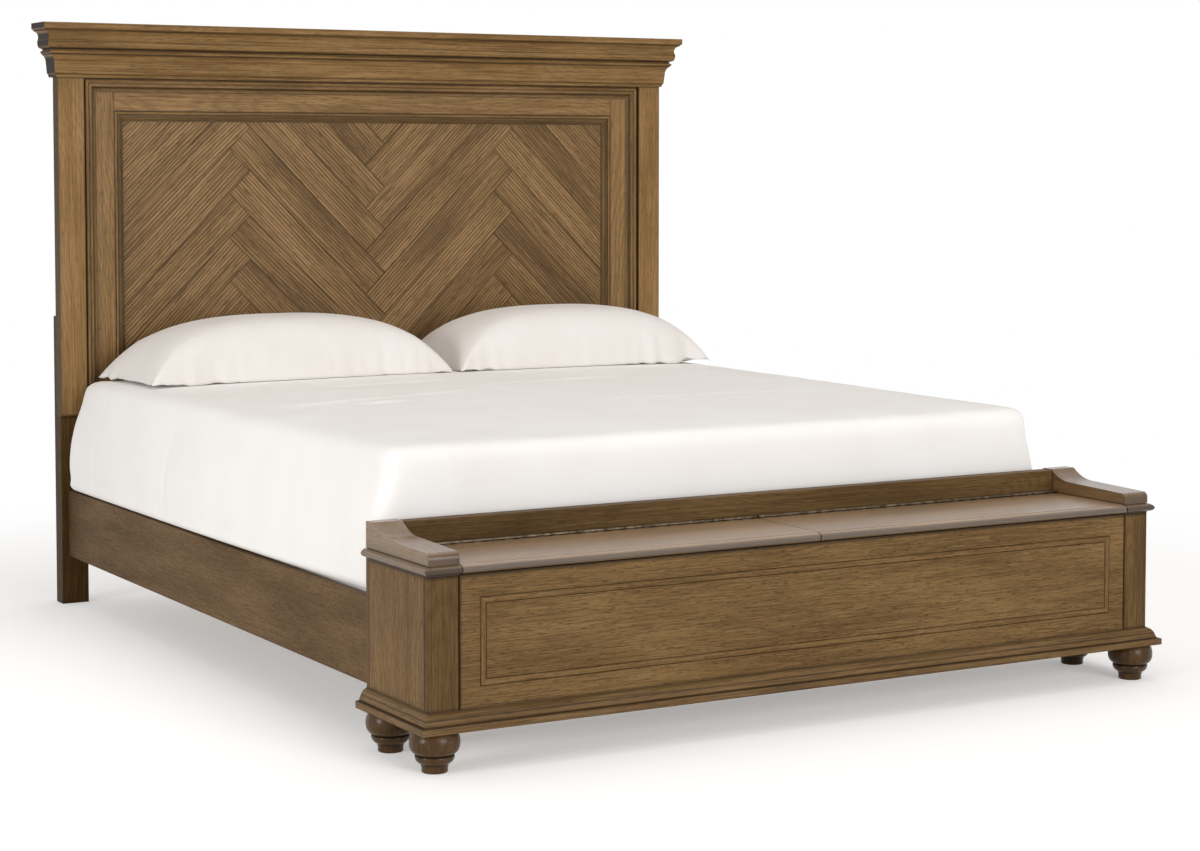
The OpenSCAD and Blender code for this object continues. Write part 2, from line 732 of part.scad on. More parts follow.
// Blocks in the four corners carry the bottom panel and take the foot bolts
module corner_blocks() {
    x1 = bench_half - side_t;
    y0 = bench_y + front_t;
    y1 = bench_back - back_t;
    color(PINE) difference() {
        both_sides() {
            box(x1 - block_l, x1, y0, y0 + block_l, base_z, bottom_z);
            box(x1 - block_l, x1, y1 - block_l, y1, base_z, bottom_z);
        }
        for (p = foot_places) translate([p[0], p[1], base_z - 1])
            cylinder(h = bottom_z - base_z + 2, r = bolt_r + bolt_clear, $fn = 32);
    }
}

// Base moulding: an ogee on a stepped fascia, mitred round the front corners
function base_profile() = let (z1 = base_z + base_h, p = base_proj)
    concat([[1, z1]], bend([2, z1 - 1.5], [9, z1 - 3], [p - 14, z1 - 12], 6),
        bend([p - 13, z1 - 15], [p - 11, z1 - 22], [p - 9, z1 - 24], 5),
        [[p - 9, z1 - 27], [p - 3, z1 - 27]], arc(p - 3, z1 - 30, 3, 90, 0, 4),
        [[p, base_z]]);
module base_moulding() {
    color(OAK) returned_moulding(base_profile(), bench_half, bench_y, bench_back);
}

// The nosing of the lids and cap boards: a small step, then a thumb shape.
// Each point is how far it stands out, and its height.
function nosing() = let (z1 = lid_z1, z0 = lid_z0, n = lid_nose, mid = lid_z1 - lid_t * 0.55)
    concat([[-3, z1], [-3, z1 - 1]], bend([-2, z1 - 1], [n - 3, z1 - 3], [n, mid + 1], 7),
        bend([n, mid - 1], [n - 2, z0 + 1], [1, z0], 6));

module cap_board(side) {
    edge = nosing();
    front = concat([for (p = edge) [bench_y - p[0], p[1]]], [[bench_y, lid_z0], [bench_y, body_top],
        [bench_back, body_top], [bench_back, lid_z1]]);
    outer = concat([for (p = edge) [bench_half + p[0], p[1]]], [[bench_half, lid_z0],
        [bench_half, body_top], [arm_in, body_top], [arm_in, lid_z1]]);
    color(OAK) mirrored(side) intersection() {
        along_x(arm_in, bench_half + lid_nose + 1) polygon(front);
        along_y(bench_y - lid_nose - 1, bench_back) polygon(outer);
    }
}
module cap_board_left() { cap_board(-1); }
module cap_board_right() { cap_board(1); }

// An arm: level at the back, a concave sweep, a long easy fall and a rounded front edge
module arm(side) {
    sweep_y = bench_back - arm_level - arm_sweep;
    sweep_z = arm_front_z + (sweep_y - bench_y) * arm_fall;
    knee = [sweep_y + arm_knee, sweep_z + arm_knee * arm_fall];
    color(OAK) mirrored(side) along_x(arm_in, bench_half) polygon(concat(
        [[bench_back, lid_z1], [bench_back, arm_back_z - 1], [bench_back - 1, arm_back_z]],
        bend([bench_back - arm_level, arm_back_z], knee, [sweep_y, sweep_z], 12),
        arc(bench_y + arm_nose_r, arm_front_z - arm_nose_r, arm_nose_r, 90, 180, 8),
        [[bench_y, lid_z1]]));
}
module arm_left() { arm(-1); }
module arm_right() { arm(1); }

module gallery_rail() {
    y0 = bench_back - gallery_t;
    color(OAK) along_x(-arm_in, arm_in) polygon(concat([[y0, lid_z1]],
        arc(y0 + 3, gallery_z - 3, 3, 180, 90, 4), arc(bench_back - 3, gallery_z - 3, 3, 90, 0, 4),
        [[bench_back, lid_z1]]));
}
module hinge_rail() {
    color(OAK) box(-arm_in, arm_in, hinge_rail_y, bench_back, body_top, lid_z1);
}

// Lids, their continuous hinges and their folding stays

// A lid: the nosing along its front, and small round corners in plan
module lid(side) {
    r = lid_corner_r;
    front = bench_y - lid_nose;
    color(OAK) mirrored(side) intersection() {
        along_x(lid_half_gap, lid_out) polygon(concat([for (p = nosing())
            [bench_y - p[0], p[1]]], [[lid_back, lid_z0], [lid_back, lid_z1]]));
        translate([0, 0, lid_z0 - 1]) linear_extrude(lid_t + 2) polygon(concat(
            arc(lid_half_gap + r, front + r, r, 180, 270, 5),
            arc(lid_out - r, front + r, r, 270, 360, 5),
            [[lid_out, lid_back + 1], [lid_half_gap, lid_back + 1]]));
    }
}
module lid_left() { lid(-1); }
module lid_right() { lid(1); }

// A hinge leaf: way is 1 for the leaf on the hinge rail and -1 for the one on the lid
module hinge_leaf(side, way) {
    x0 = lid_half_gap + 1;
    x1 = lid_out - 1;
    count = 2 * floor((x1 - x0) / knuckle_l / 2);
    step = (x1 - x0) / count;
    plate_top = hinge_z - knuckle_r - 0.3;
    y0 = way > 0 ? hinge_y + leaf_air : hinge_y - leaf_air - leaf_plate_t;
    mirrored(side) {
        box(x0, x1, y0, y0 + leaf_plate_t, hinge_z - leaf_plate_h, plate_top);
        for (i = [(way > 0 ? 0 : 1):2:count - 1])
            along_x(x0 + i * step + knuckle_gap / 2, x0 + (i + 1) * step - knuckle_gap / 2)
            difference() {
                union() {
                    translate([hinge_y, hinge_z]) circle(r = knuckle_r, $fn = 32);
                    translate([y0, plate_top - 2]) square([leaf_plate_t, hinge_z - 2 - plate_top + 2]);
                }
                translate([hinge_y, hinge_z]) circle(r = hinge_pin_r + pin_clear, $fn = 32);
            }
    }
}
module hinge_fixed_leaves() {
    color(BRASS) {
        hinge_leaf(-1, 1);
        hinge_leaf(1, 1);
    }
}
module hinge_lid_leaf_left() { color(BRASS) hinge_leaf(-1, -1); }
module hinge_lid_leaf_right() { color(BRASS) hinge_leaf(1, -1); }
module hinge_pins() {
    color(STEEL) both_sides()
        rod_x(lid_half_gap + 1, lid_out - 1, [hinge_y, hinge_z], hinge_pin_r);
}

// A flat link between two points in Y and Z, with round ends
module link_shape(a, b) {
    turn = atan2(b[1] - a[1], b[0] - a[0]);
    polygon(concat(arc(a[0], a[1], link_w / 2, turn + 90, turn + 270, 16),
        arc(b[0], b[1], link_w / 2, turn - 90, turn + 90, 16)));
}
module stay_box_plates() {
    color(STEEL) both_sides() {
        box(box_plate_x, end_in, box_pin[0] - link_w, box_pin[0] + link_w,
            box_pin[1] - 1.4 * link_w, box_pin[1] + 1.4 * link_w);
        rod_x(lower_x0, box_plate_x + 0.01, box_pin, stay_pin_r);
    }
}
module stay_lid_bracket(side) {
    color(STEEL) mirrored(side) {
        box(bracket_x0, bracket_x1, lid_pin[0] - 15, lid_pin[0] + 15, lid_pin[1] - 9, lid_z0);
        box(bracket_x0 - 18, bracket_x0 + 0.01, lid_pin[0] - 15, lid_pin[0] + 15, lid_z0 - plate_t, lid_z0);
        rod_x(bracket_x1 - 0.01, upper_x1, lid_pin, stay_pin_r);
    }
}
module stay_lid_bracket_left() { stay_lid_bracket(-1); }
module stay_lid_bracket_right() { stay_lid_bracket(1); }
module stay_lower(side) {
    color(BRASS) mirrored(side) {
        difference() {
            along_x(lower_x0, lower_x1) link_shape(box_pin, elbow);
            rod_x(lower_x0 - 1, lower_x1 + 1, box_pin, stay_pin_r + pin_clear);
        }
        rod_x(upper_x0, lower_x0 + 0.01, elbow, stay_pin_r);
    }
}
module stay_lower_left() { stay_lower(-1); }
module stay_lower_right() { stay_lower(1); }
module stay_upper(side) {
    color(BRASS) mirrored(side) difference() {
        along_x(upper_x0, upper_x1) link_shape(lid_pin, elbow);
        rod_x(upper_x0 - 1, upper_x1 + 1, lid_pin, stay_pin_r + pin_clear);
        rod_x(upper_x0 - 1, upper_x1 + 1, elbow, stay_pin_r + elbow_clear);
    }
}
module stay_upper_left() { stay_upper(-1); }
module stay_upper_right() { stay_upper(1); }

// Pads on the front panel's top edge, which the closed lids come down on
module lid_bumpers() {
    color("#3A3632") both_sides() for (x = [lid_half_gap + 60, lid_out - 60])
        translate([x, bench_y + front_t / 2, body_top])
            cylinder(h = lid_gap - rest_clear, r = 6, $fn = 32);
}

// A turned foot: a bulge, a crease, a collar, a hollow neck and a base ring
module bun_foot() {
    r = foot_r;
    c = foot_collar_r;
    b = foot_base_r;
    h = base_z;
    profile = concat([[0, 0], [b - 1.5, 0], [b, 1.5], [b, 13], [b + 1.5, 14], [b + 1.5, 17]],
        bend([b + 2, 18], [c - 1, 24], [c, 34], 7), [[c - 0.5, 37], [c - 3, 38.5]],
        bend([c - 1.5, 40], [r, 46], [r, 63], 8), bend([r, 65], [r, 80], [r - 8, h], 7),
        [[0, h]]);
    difference() {
        rotate_extrude($fn = 96) polygon(profile);
        translate([0, 0, h - foot_bolt_in - 1])
            cylinder(h = foot_bolt_in + 2, r = bolt_r + bolt_clear, $fn = 32);
    }
}
module bun_feet() {
    color(OAK_DARK) for (p = foot_places) translate([p[0], p[1], 0]) bun_foot();
}
module foot_bolts() {
    color(STEEL) for (p = foot_places) translate([p[0], p[1], base_z - foot_bolt_in])
        cylinder(h = foot_bolt_in + bottom_z - base_z - 1, r = bolt_r, $fn = 32);
}

// Soft pieces: closed skins of triangles

// Points round a rectangle with round corners, anticlockwise from the right-hand side.
// The two corners at the head end, where y is largest, take the smaller radius.
head_share = 0.65;
function round_ring(hx, hy, r, z, n = 6) = [for (q = [0:3], i = [0:n])
    let (a = 90 * q + 90 * i / n, sx = q == 0 || q == 3 ? 1 : -1, sy = q < 2 ? 1 : -1,
         c = q < 2 ? r * head_share : r)
    [sx * (hx - c) + c * cos(a), sy * (hy - c) + c * sin(a), z]];

// A skin over rings of n points each, from the lowest to the highest, closed at both ends
module ring_skin(rings, low, high) {
    n = len(rings[0]);
    m = len(rings);
    points = concat([for (r = rings, p = r) p], [low, high]);
    polyhedron(points, concat(
        [for (j = [0:m - 2], i = [0:n - 1]) let (k = (i + 1) % n)
            [j * n + i, (j + 1) * n + i, (j + 1) * n + k]],
        [for (j = [0:m - 2], i = [0:n - 1]) let (k = (i + 1) % n)
            [j * n + i, (j + 1) * n + k, j * n + k]],
        [for (i = [0:n - 1]) [m * n, i, (i + 1) % n]],
        [for (i = [0:n - 1]) [m * n + 1, (m - 1) * n + (i + 1) % n, (m - 1) * n + i]]),
        convexity = 4);
}
// The mattress in its fitted sheet: narrow between the rails, swelling out over their top
// edges, then leaning in to a round top edge and a crowned top. The foot end is narrower.
foot_pinch = 0.035;
function pinched(ring, share) = [for (p = ring)
    [p[0] * (1 - foot_pinch * share * pow(0.5 - p[1] / mattress_l, 3)), p[1], p[2]]];
module mattress() {
    hx = mattress_w / 2;
    hy = mattress_l / 2;
    e = mattress_edge_r;
    t = mattress_t;
    fold = mattress_fold;
    wide = mattress_swell + 2;
    // Over the rails: the swell's underside, its fullest height and the lean above it
    over = rail_top - mattress_z + 8;
    full = over + 70;
    edge_z = t - mattress_crown - e;
    // Each level lists its height, how far its sides stand in and how far its ends do
    levels = concat(
        [for (a = [0:30:90]) let (k = fold * (1 - cos(90 - a))) [k, fold * (1 - sin(a)), fold * (1 - sin(a))]],
        [[over, 16 - wide, 1], [over + 16, 4 - wide, 0], [full, 2 - wide, 0]],
        [for (f = [0.34, 0.67]) [full + (edge_z - full) * f,
            2 - wide + (wide + mattress_lean - 2) * f, 0]],
        [for (a = [0:15:90]) let (k = e * (1 - cos(a)))
            [edge_z + e * sin(a), mattress_lean + k, k]]);
    crown = [for (f = [0.25, 0.6]) let (k = e + shoulder * f)
        [t - mattress_crown * (1 - f) * (1 - f), mattress_lean + k, k]];
    color(LINEN) translate([0, pil_y - end_gap * mattress_back_share - hy, mattress_z]) ring_skin(
        [for (l = concat(levels, crown)) pinched(round_ring(hx - 2 - l[1], hy - 2 - l[2],
            max(mattress_corner_r - max(l[1], 0) * 0.75, 10), l[0]),
            l[0] > fold ? 1 : 0)],
        [0, 0, 0], [0, 0, t]);
}

// A pillow: a crowned top, a flat bed under it, edges drawn in between pointed corners
module pillow(side) {
    nu = 20;
    nv = 14;
    hx = pillow_w / 2;
    hy = pillow_d / 2;
    t = pillow_t;
    seam = 0.28 * t;
    draw = 0.05;
    u = [for (i = [0:nu]) -cos(180 * i / nu)];
    v = [for (j = [0:nv]) -cos(180 * j / nv)];
    function full(a, b) = pow(max(0, (1 - pow(abs(a), 2.6)) * (1 - pow(abs(b), 2.4))), 0.55);
    function plan(a, b) = [hx * a * (1 - draw * (1 - b * b)), hy * b * (1 - draw * (1 - a * a))];
    function rim(a, b) = seam * (1 - 0.35 * a * a * b * b);
    top = [for (j = [0:nv], i = [0:nu]) let (a = u[i], b = v[j])
        concat(plan(a, b), [rim(a, b) + (t - seam) * full(a, b)])];
    low = [for (j = [0:nv], i = [0:nu]) let (a = u[i], b = v[j])
        concat(plan(a, b), [rim(a, b) * max(0, 1 - 2.6 * full(a, b))])];
    w = nu + 1;
    size = w * (nv + 1);
    function on_edge(i, j) = i == 0 || j == 0 || i == nu || j == nv;
    function under(i, j) = on_edge(i, j) ? j * w + i : size + j * w + i;
    faces = [for (j = [0:nv - 1], i = [0:nu - 1], half = [0, 1], face = [0, 1])
        let (p = [i, j], q = [i + 1, j], r = [i + 1, j + 1], s = [i, j + 1],
             three = (2 * i < nu) == (2 * j < nv) ? (half == 0 ? [p, r, q] : [p, s, r])
                                                  : (half == 0 ? [p, s, q] : [q, s, r]))
        face == 0 ? [for (c = three) c[1] * w + c[0]]
                  : [for (k = [2:-1:0]) under(three[k][0], three[k][1])]];
    color(LINEN) mirrored(side)
        translate([pillow_gap / 2 + hx + side * pillow_shift, pil_y - pillow_back - hy,
                   mattress_top - pillow_dip + rest_clear])
        polyhedron(concat(top, low), faces, convexity = 4);
}
module pillow_left() { pillow(-1); }
module pillow_right() { pillow(1); }

pilaster_left();
pilaster_right();
headboard_core();
headboard_stiles();
top_rail();
bottom_rail();
outer_moulding();
inner_moulding();
herringbone_leaves();
crown_core();
crown_cap();
crown_frieze();
leg_left();
leg_right();
frame_bolts();
side_rail_left();
side_rail_right();
slat_ledgers();
slats();
centre_beam();
centre_legs();
centre_glides();
rail_brackets();
post_left();
post_right();
front_panel();
panel_bead();
side_panel_left();
side_panel_right();
end_panels();
back_panel();
bottom_panel();
divider();
corner_blocks();
base_moulding();
cap_board_left();
cap_board_right();
arm_left();
arm_right();
gallery_rail();
hinge_rail();
lid_left();
lid_right();
hinge_fixed_leaves();
hinge_lid_leaf_left();
hinge_lid_leaf_right();
hinge_pins();
stay_box_plates();
stay_lid_bracket_left();
stay_lid_bracket_right();
stay_lower_left();
stay_lower_right();
stay_upper_left();
stay_upper_right();
bun_feet();
foot_bolts();
lid_bumpers();
mattress();
pillow_left();
pillow_right();
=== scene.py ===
"""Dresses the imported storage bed: its oak, its metal, its bedding, and the pale studio round it.

The rigid pieces keep the shapes they were packed with and only get their finishes here. The
mattress, the sheet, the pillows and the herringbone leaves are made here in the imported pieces'
places. All lengths are metres unless a name ends in _mm.
"""

from __future__ import annotations

import json
import logging
import math
import random
from dataclasses import dataclass, field
from enum import Enum
from typing import Callable, Sequence

import bmesh
import bpy
from mathutils import Euler, Matrix, Vector, noise

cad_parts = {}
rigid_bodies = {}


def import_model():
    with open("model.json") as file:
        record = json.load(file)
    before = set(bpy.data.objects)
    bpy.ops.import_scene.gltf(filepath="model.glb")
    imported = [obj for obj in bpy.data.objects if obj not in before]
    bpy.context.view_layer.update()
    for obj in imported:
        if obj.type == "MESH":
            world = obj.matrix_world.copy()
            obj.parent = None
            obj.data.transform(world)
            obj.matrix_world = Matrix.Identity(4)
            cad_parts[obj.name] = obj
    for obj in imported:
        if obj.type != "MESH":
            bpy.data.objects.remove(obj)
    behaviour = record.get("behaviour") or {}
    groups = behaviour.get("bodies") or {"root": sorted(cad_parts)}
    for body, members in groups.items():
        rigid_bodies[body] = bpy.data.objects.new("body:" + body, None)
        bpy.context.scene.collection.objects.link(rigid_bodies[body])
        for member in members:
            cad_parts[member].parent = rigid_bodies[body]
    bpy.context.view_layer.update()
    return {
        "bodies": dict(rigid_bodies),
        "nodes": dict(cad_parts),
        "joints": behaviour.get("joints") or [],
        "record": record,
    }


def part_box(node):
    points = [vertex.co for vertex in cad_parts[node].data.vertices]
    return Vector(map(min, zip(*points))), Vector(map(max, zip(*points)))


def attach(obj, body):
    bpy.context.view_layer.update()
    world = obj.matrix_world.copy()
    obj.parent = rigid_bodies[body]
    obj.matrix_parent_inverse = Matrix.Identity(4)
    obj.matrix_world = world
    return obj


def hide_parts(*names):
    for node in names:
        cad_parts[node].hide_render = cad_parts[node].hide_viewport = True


LOG = logging.getLogger("storage_bed")
MM = 0.001
Tree = bpy.types.NodeTree
Socket = bpy.types.NodeSocket


def linear(hex_colour: str) -> tuple[float, float, float, float]:
    """Turns an sRGB hex colour into the linear colour that shaders take.

    Args:
        hex_colour: A colour such as "#846A4A".

    Returns:
        Red, green, blue and an alpha of 1.
    """
    parts = [int(hex_colour[i : i + 2], 16) / 255 for i in (1, 3, 5)]
    return (*[p / 12.92 if p <= 0.04045 else ((p + 0.055) / 1.055) ** 2.4 for p in parts], 1.0)


class Axis(Enum):
    """The direction that a piece's grain, or its brushing, runs in."""

    X = 0
    Y = 1
    Z = 2


def add_node(tree: Tree, kind: str, links: dict | Sequence = (), out: int | str = 0,
             stops: Sequence[tuple[float, str | float]] = (), **settings) -> Socket | None:
    """Adds a node with its settings and its inputs.

    Args:
        tree: The node tree that gets the node.
        kind: The node's type after "ShaderNode", such as "TexNoise".
        links: The inputs in order, or by name or number. Each is a value, a hex colour, or the
            output socket of another node.
        out: The name or number of the output that is wanted.
        stops: A colour ramp's places from 0 to 1, each with a hex colour or a grey level.
        **settings: Properties of the node, such as operation.

    Returns:
        The wanted output's socket, or None where a node has no outputs.
    """
    node = tree.nodes.new("ShaderNode" + kind)
    for name, value in settings.items():
        setattr(node, name, value)
    pairs = links.items() if isinstance(links, dict) else enumerate(links)
    for name, value in pairs:
        if isinstance(value, Socket):
            tree.links.new(value, node.inputs[name])
        else:
            node.inputs[name].default_value = linear(value) if isinstance(value, str) else value
    for number, (place, colour) in enumerate(stops):
        bar = node.color_ramp.elements
        element = bar[number] if number < len(bar) else bar.new(place)
        element.position = place
        element.color = linear(colour) if isinstance(colour, str) else (colour, colour, colour, 1)
    return node.outputs[out] if node.outputs else None


def new_material(name: str) -> tuple[bpy.types.Material, Tree]:
    """Starts an empty node material.

    Args:
        name: The material's name.

    Returns:
        The material and its cleared node tree.
    """
    material = bpy.data.materials.new(name)
    material.use_nodes = True
    material.node_tree.nodes.clear()
    return material, material.node_tree


@dataclass(frozen=True)
class Mitre:
    """Where a moulding turns its corner, so that the grain turns with it.

    A point is on the turned part where |X| - half is greater than |walk - centre| - reach, and
    the grain there follows turned instead of the moulding's own axis.
    """

    half: float
    centre: float
    reach: float
    walk: Axis
    turned: Axis

    @classmethod
    def of_frame(cls, low: Vector, high: Vector, open_below: bool = False) -> Mitre:
        """Gives the mitres of a frame of moulding that stands upright.

        Args:
            low: The frame's lowest corner.
            high: Its highest corner.
            open_below: Whether it has no lower part.

        Returns:
            The mitres at its corners.
        """
        centre = 0.0 if open_below else (low.z + high.z) / 2
        return cls(high.x, centre, high.z - centre, Axis.Z, Axis.Z)

    @classmethod
    def of_return(cls, half: float, face: float) -> Mitre:
        """Gives the mitres where a moulding returns along the sides.

        Args:
            half: Half the width of the case that it runs round.
            face: The Y of the case's front.

        Returns:
            The mitres at its two front corners.
        """
        return cls(half, face + 1.0, 1.0, Axis.Y, Axis.Y)


def grain_vector(tree: Tree, grain: Axis, seed: float, mitre: Mitre | None = None) -> Socket:
    """Gives coordinates whose third part runs along the grain.

    Args:
        tree: The material's node tree.
        grain: The direction of the grain.
        seed: A number that moves the pattern, so that no two pieces match.
        mitre: Where the grain turns, if it does.

    Returns:
        The vector socket, in metres.
    """
    place = add_node(tree, "TexCoord", out="Object")
    x, y, z = add_node(tree, "SeparateXYZ", [place]).node.outputs
    order = {Axis.X: (z, y, x), Axis.Y: (x, z, y), Axis.Z: (x, y, z)}
    vector = add_node(tree, "CombineXYZ", order[grain])
    if mitre:
        wide = add_node(tree, "Math", [x], operation="ABSOLUTE")
        across = add_node(tree, "Math", (wide, mitre.half), operation="SUBTRACT")
        walked = add_node(tree, "Math", ((x, y, z)[mitre.walk.value], mitre.centre), operation="SUBTRACT")
        walked = add_node(tree, "Math", [walked], operation="ABSOLUTE")
        walked = add_node(tree, "Math", (walked, mitre.reach), operation="SUBTRACT")
        past = add_node(tree, "Math", (across, walked), operation="GREATER_THAN")
        turned = add_node(tree, "CombineXYZ", order[mitre.turned])
        vector = add_node(tree, "Mix", {0: past, 4: vector, 5: turned}, 1, data_type="VECTOR")
    return add_node(tree, "Mapping", (vector, (0.37 * seed, 0.11 * seed, 1.73 * seed)))


def stretched(tree: Tree, vector: Socket, across_mm: float, along_mm: float, detail: float = 2.0) -> Socket:
    """Samples a noise stretched along the grain.

    Args:
        tree: The material's node tree.
        vector: The grain coordinates.
        across_mm: The size of a patch across the grain.
        along_mm: Its size along the grain.
        detail: The noise's detail.

    Returns:
        The noise's value socket, about 0.5 on average.
    """
    a, b = 1 / (across_mm * MM), 1 / (along_mm * MM)
    scaled = add_node(tree, "Mapping", {0: vector, 3: (a, a, b)})
    return add_node(tree, "TexNoise", {"Vector": scaled, "Scale": 1.0, "Detail": detail, "Roughness": 0.55})


@dataclass(frozen=True)
class GlazeAndShadeLine:
    """A line darkened with the glaze colour: real glaze left in a quirk or a joint, and painted shade in
    coves and under edges.

    A line across X is drawn on both sides of the bed's middle.
    """

    axis: Axis
    place: float
    spread: float
    depth: float = 0.8


def glaze_and_shade_amount(tree: Tree, lines: Sequence[GlazeAndShadeLine], edge: Socket | float) -> Socket | float:
    """Adds up the glaze left in quirks and the shade painted along lines.

    Args:
        tree: The material's node tree.
        lines: The glaze lines of the piece.
        edge: The glaze that it has already, from 0 to 1.

    Returns:
        The most glaze and painted shade at each place, from 0 to 1.
    """
    place = add_node(tree, "TexCoord", out="Object")
    parts = add_node(tree, "SeparateXYZ", [place]).node.outputs
    for line in lines:
        part = parts[line.axis.value]
        if line.axis is Axis.X:
            part = add_node(tree, "Math", [part], operation="ABSOLUTE")
        away = add_node(tree, "Math", (part, line.place), operation="SUBTRACT")
        away = add_node(tree, "Math", [away], operation="ABSOLUTE")
        amount = add_node(tree, "Math", (away, -line.depth / line.spread, line.depth),
                          operation="MULTIPLY_ADD", use_clamp=True)
        edge = add_node(tree, "Math", (edge, amount), operation="MAXIMUM")
    return edge


@dataclass(frozen=True)
class OakFinish:
    """Oak veneer or solid oak, wire-brushed, wiped with a brown glaze and lacquered satin.

    It shows broad tone changes, arched growth rings, long dark pores that the glaze fills, and
    a soft sheen. Real pores are 0.3 mm wide; their pattern here is 1.9 mm wide, so that they
    show in a picture of the whole bed.
    """

    name: str
    # The wood's three tones, its filled pores, and the glaze colour, which is left in quirks and also paints
    # shade
    pale: str = "#997951"
    mid: str = "#876942"
    deep: str = "#674C2C"
    pore: str = "#332413"
    glaze: str = "#22180D"
    # Growth rings: their spacing, their arch, and how far they wander, in metres
    ring_mm: float = 8.5
    arch: float = 0.16
    sway: float = 0.35
    wobble: float = 0.011
    # The real size of each pattern across the grain, and along it
    streak_mm: float = 3.4
    streak_length_mm: float = 300.0
    pore_mm: float = 1.9
    pore_length_mm: float = 36.0
    mottle_mm: float = 240.0
    # How strongly rings, streaks and pores show, from 0 to 1
    figure: float = 0.45
    streaks: float = 0.55
    pores: float = 0.5
    # The surface: its sheen, its clear lacquer, and how deep the pores are
    roughness: float = 0.46
    gloss: float = 0.15
    coat: float = 0.0
    coat_roughness: float = 0.2
    coat_ior: float = 1.36
    relief_mm: float = 0.3
    # How much painted shade darkens faces that look to the bed's left or right
    ends: float = 0.0

    def rings(self, tree: Tree, vector: Socket, seed: float) -> Socket:
        """Draws the growth rings that a sawn face shows: arches in the middle, lines beside them.

        Args:
            tree: The material's node tree.
            vector: The grain coordinates.
            seed: A number that places the heart of the log.

        Returns:
            A value socket from 0, early wood, to 1, late wood.
        """
        across = add_node(tree, "SeparateXYZ", [vector])
        sway = stretched(tree, vector, 420, 900, 1.0)
        wobble = stretched(tree, vector, 42, 420)
        beside = add_node(tree, "Math", (sway, self.sway), operation="MULTIPLY")
        beside = add_node(tree, "Math", (across, beside), operation="ADD")
        # The log's heart lies every 0.32 m or so across the face, a little different on each piece
        beside = add_node(tree, "Math", (beside, 0.16 + 0.02 * math.sin(seed)), operation="PINGPONG")
        under = add_node(tree, "Math", (stretched(tree, vector, 500, 520, 0.0), self.arch),
                         operation="MULTIPLY")
        flat, deep = (add_node(tree, "Math", (v, v), operation="MULTIPLY") for v in (beside, under))
        radius = add_node(tree, "Math", (flat, deep), operation="ADD")
        radius = add_node(tree, "Math", [radius], operation="SQRT")
        wobble = add_node(tree, "Math", (wobble, self.wobble), operation="MULTIPLY")
        radius = add_node(tree, "Math", (radius, wobble), operation="ADD")
        turn = add_node(tree, "Math", (radius, 2 * math.pi / (self.ring_mm * MM)), operation="MULTIPLY")
        wave = add_node(tree, "Math", [turn], operation="SINE")
        return add_node(tree, "Math", (wave, 0.5, 0.5), operation="MULTIPLY_ADD")

    def build(self, tree: Tree, vector: Socket, seed: float, lines: Sequence[GlazeAndShadeLine] = (),
              edge: Socket | float = 0.0) -> None:
        """Builds the finish on grain coordinates.

        Args:
            tree: The material's node tree.
            vector: The grain coordinates.
            seed: The number that makes this piece's pattern its own.
            lines: Where glaze was left and where shade is painted.
            edge: More glaze, from 0 to 1.
        """
        tone = stretched(tree, vector, self.mottle_mm / 3, self.mottle_mm * 2)
        colour = add_node(tree, "ValToRGB", [tone],
                          stops=[(0.2, self.deep), (0.5, self.mid), (0.8, self.pale)])
        late = add_node(tree, "ValToRGB", [self.rings(tree, vector, seed)], stops=[(0.45, 0.0), (0.92, 1.0)])
        thin = stretched(tree, vector, self.streak_mm, self.streak_length_mm)
        dark = add_node(tree, "ValToRGB", [thin], stops=[(0.42, 1.0), (0.49, 0.0)])
        wide = stretched(tree, vector, self.streak_mm * 1.2, self.streak_length_mm * 0.7)
        bright = add_node(tree, "ValToRGB", [wide], stops=[(0.54, 0.0), (0.63, 1.0)])
        fine = stretched(tree, vector, self.pore_mm, self.pore_length_mm, 1.0)
        pore = add_node(tree, "ValToRGB", [fine], stops=[(0.34, 1.0), (0.44, 0.0)])
        # The hard late wood has fewer pores
        open_share = add_node(tree, "Math", (late, -0.4, 1.0), operation="MULTIPLY_ADD")
        filled = add_node(tree, "Math", (pore, open_share), operation="MULTIPLY")
        for mark, strength, tint in (
                (late, self.figure, self.deep), (dark, self.streaks, self.deep),
                (bright, self.streaks * 0.8, self.pale), (filled, self.pores, self.pore)):
            share = add_node(tree, "Math", (mark, strength), operation="MULTIPLY")
            colour = add_node(tree, "Mix", {0: share, 6: colour, 7: tint}, 2, data_type="RGBA")
        glaze_and_shade = glaze_and_shade_amount(tree, lines, edge)
        # Faces that look to the bed's left or right get painted shade in the glaze colour
        if self.ends:
            normal = add_node(tree, "NewGeometry", out="Normal")
            facing = add_node(tree, "Math", [add_node(tree, "SeparateXYZ", [normal])], operation="ABSOLUTE")
            side_shade = add_node(tree, "ValToRGB", [facing], stops=[(0.72, 0.0), (0.96, self.ends)])
            glaze_and_shade = add_node(tree, "Math", (glaze_and_shade, side_shade), operation="MAXIMUM")
        colour = add_node(tree, "Mix", {0: glaze_and_shade, 6: colour, 7: self.glaze}, 2, data_type="RGBA")
        shine = add_node(tree, "Math", (filled, 0.14, self.roughness), operation="MULTIPLY_ADD")
        height = add_node(tree, "Math", (filled, -1.0), operation="MULTIPLY")
        height = add_node(tree, "Math", (late, 0.3, height), operation="MULTIPLY_ADD")
        relief = add_node(tree, "Bump", {"Height": height, "Strength": 0.5, "Distance": self.relief_mm * MM})
        surface = add_node(tree, "BsdfPrincipled", {
            "Base Color": colour, "Roughness": shine, "IOR": 1.5, "Normal": relief,
            "Specular IOR Level": self.gloss, "Coat Weight": self.coat,
            "Coat Roughness": self.coat_roughness, "Coat IOR": self.coat_ior})
        add_node(tree, "OutputMaterial", [surface])

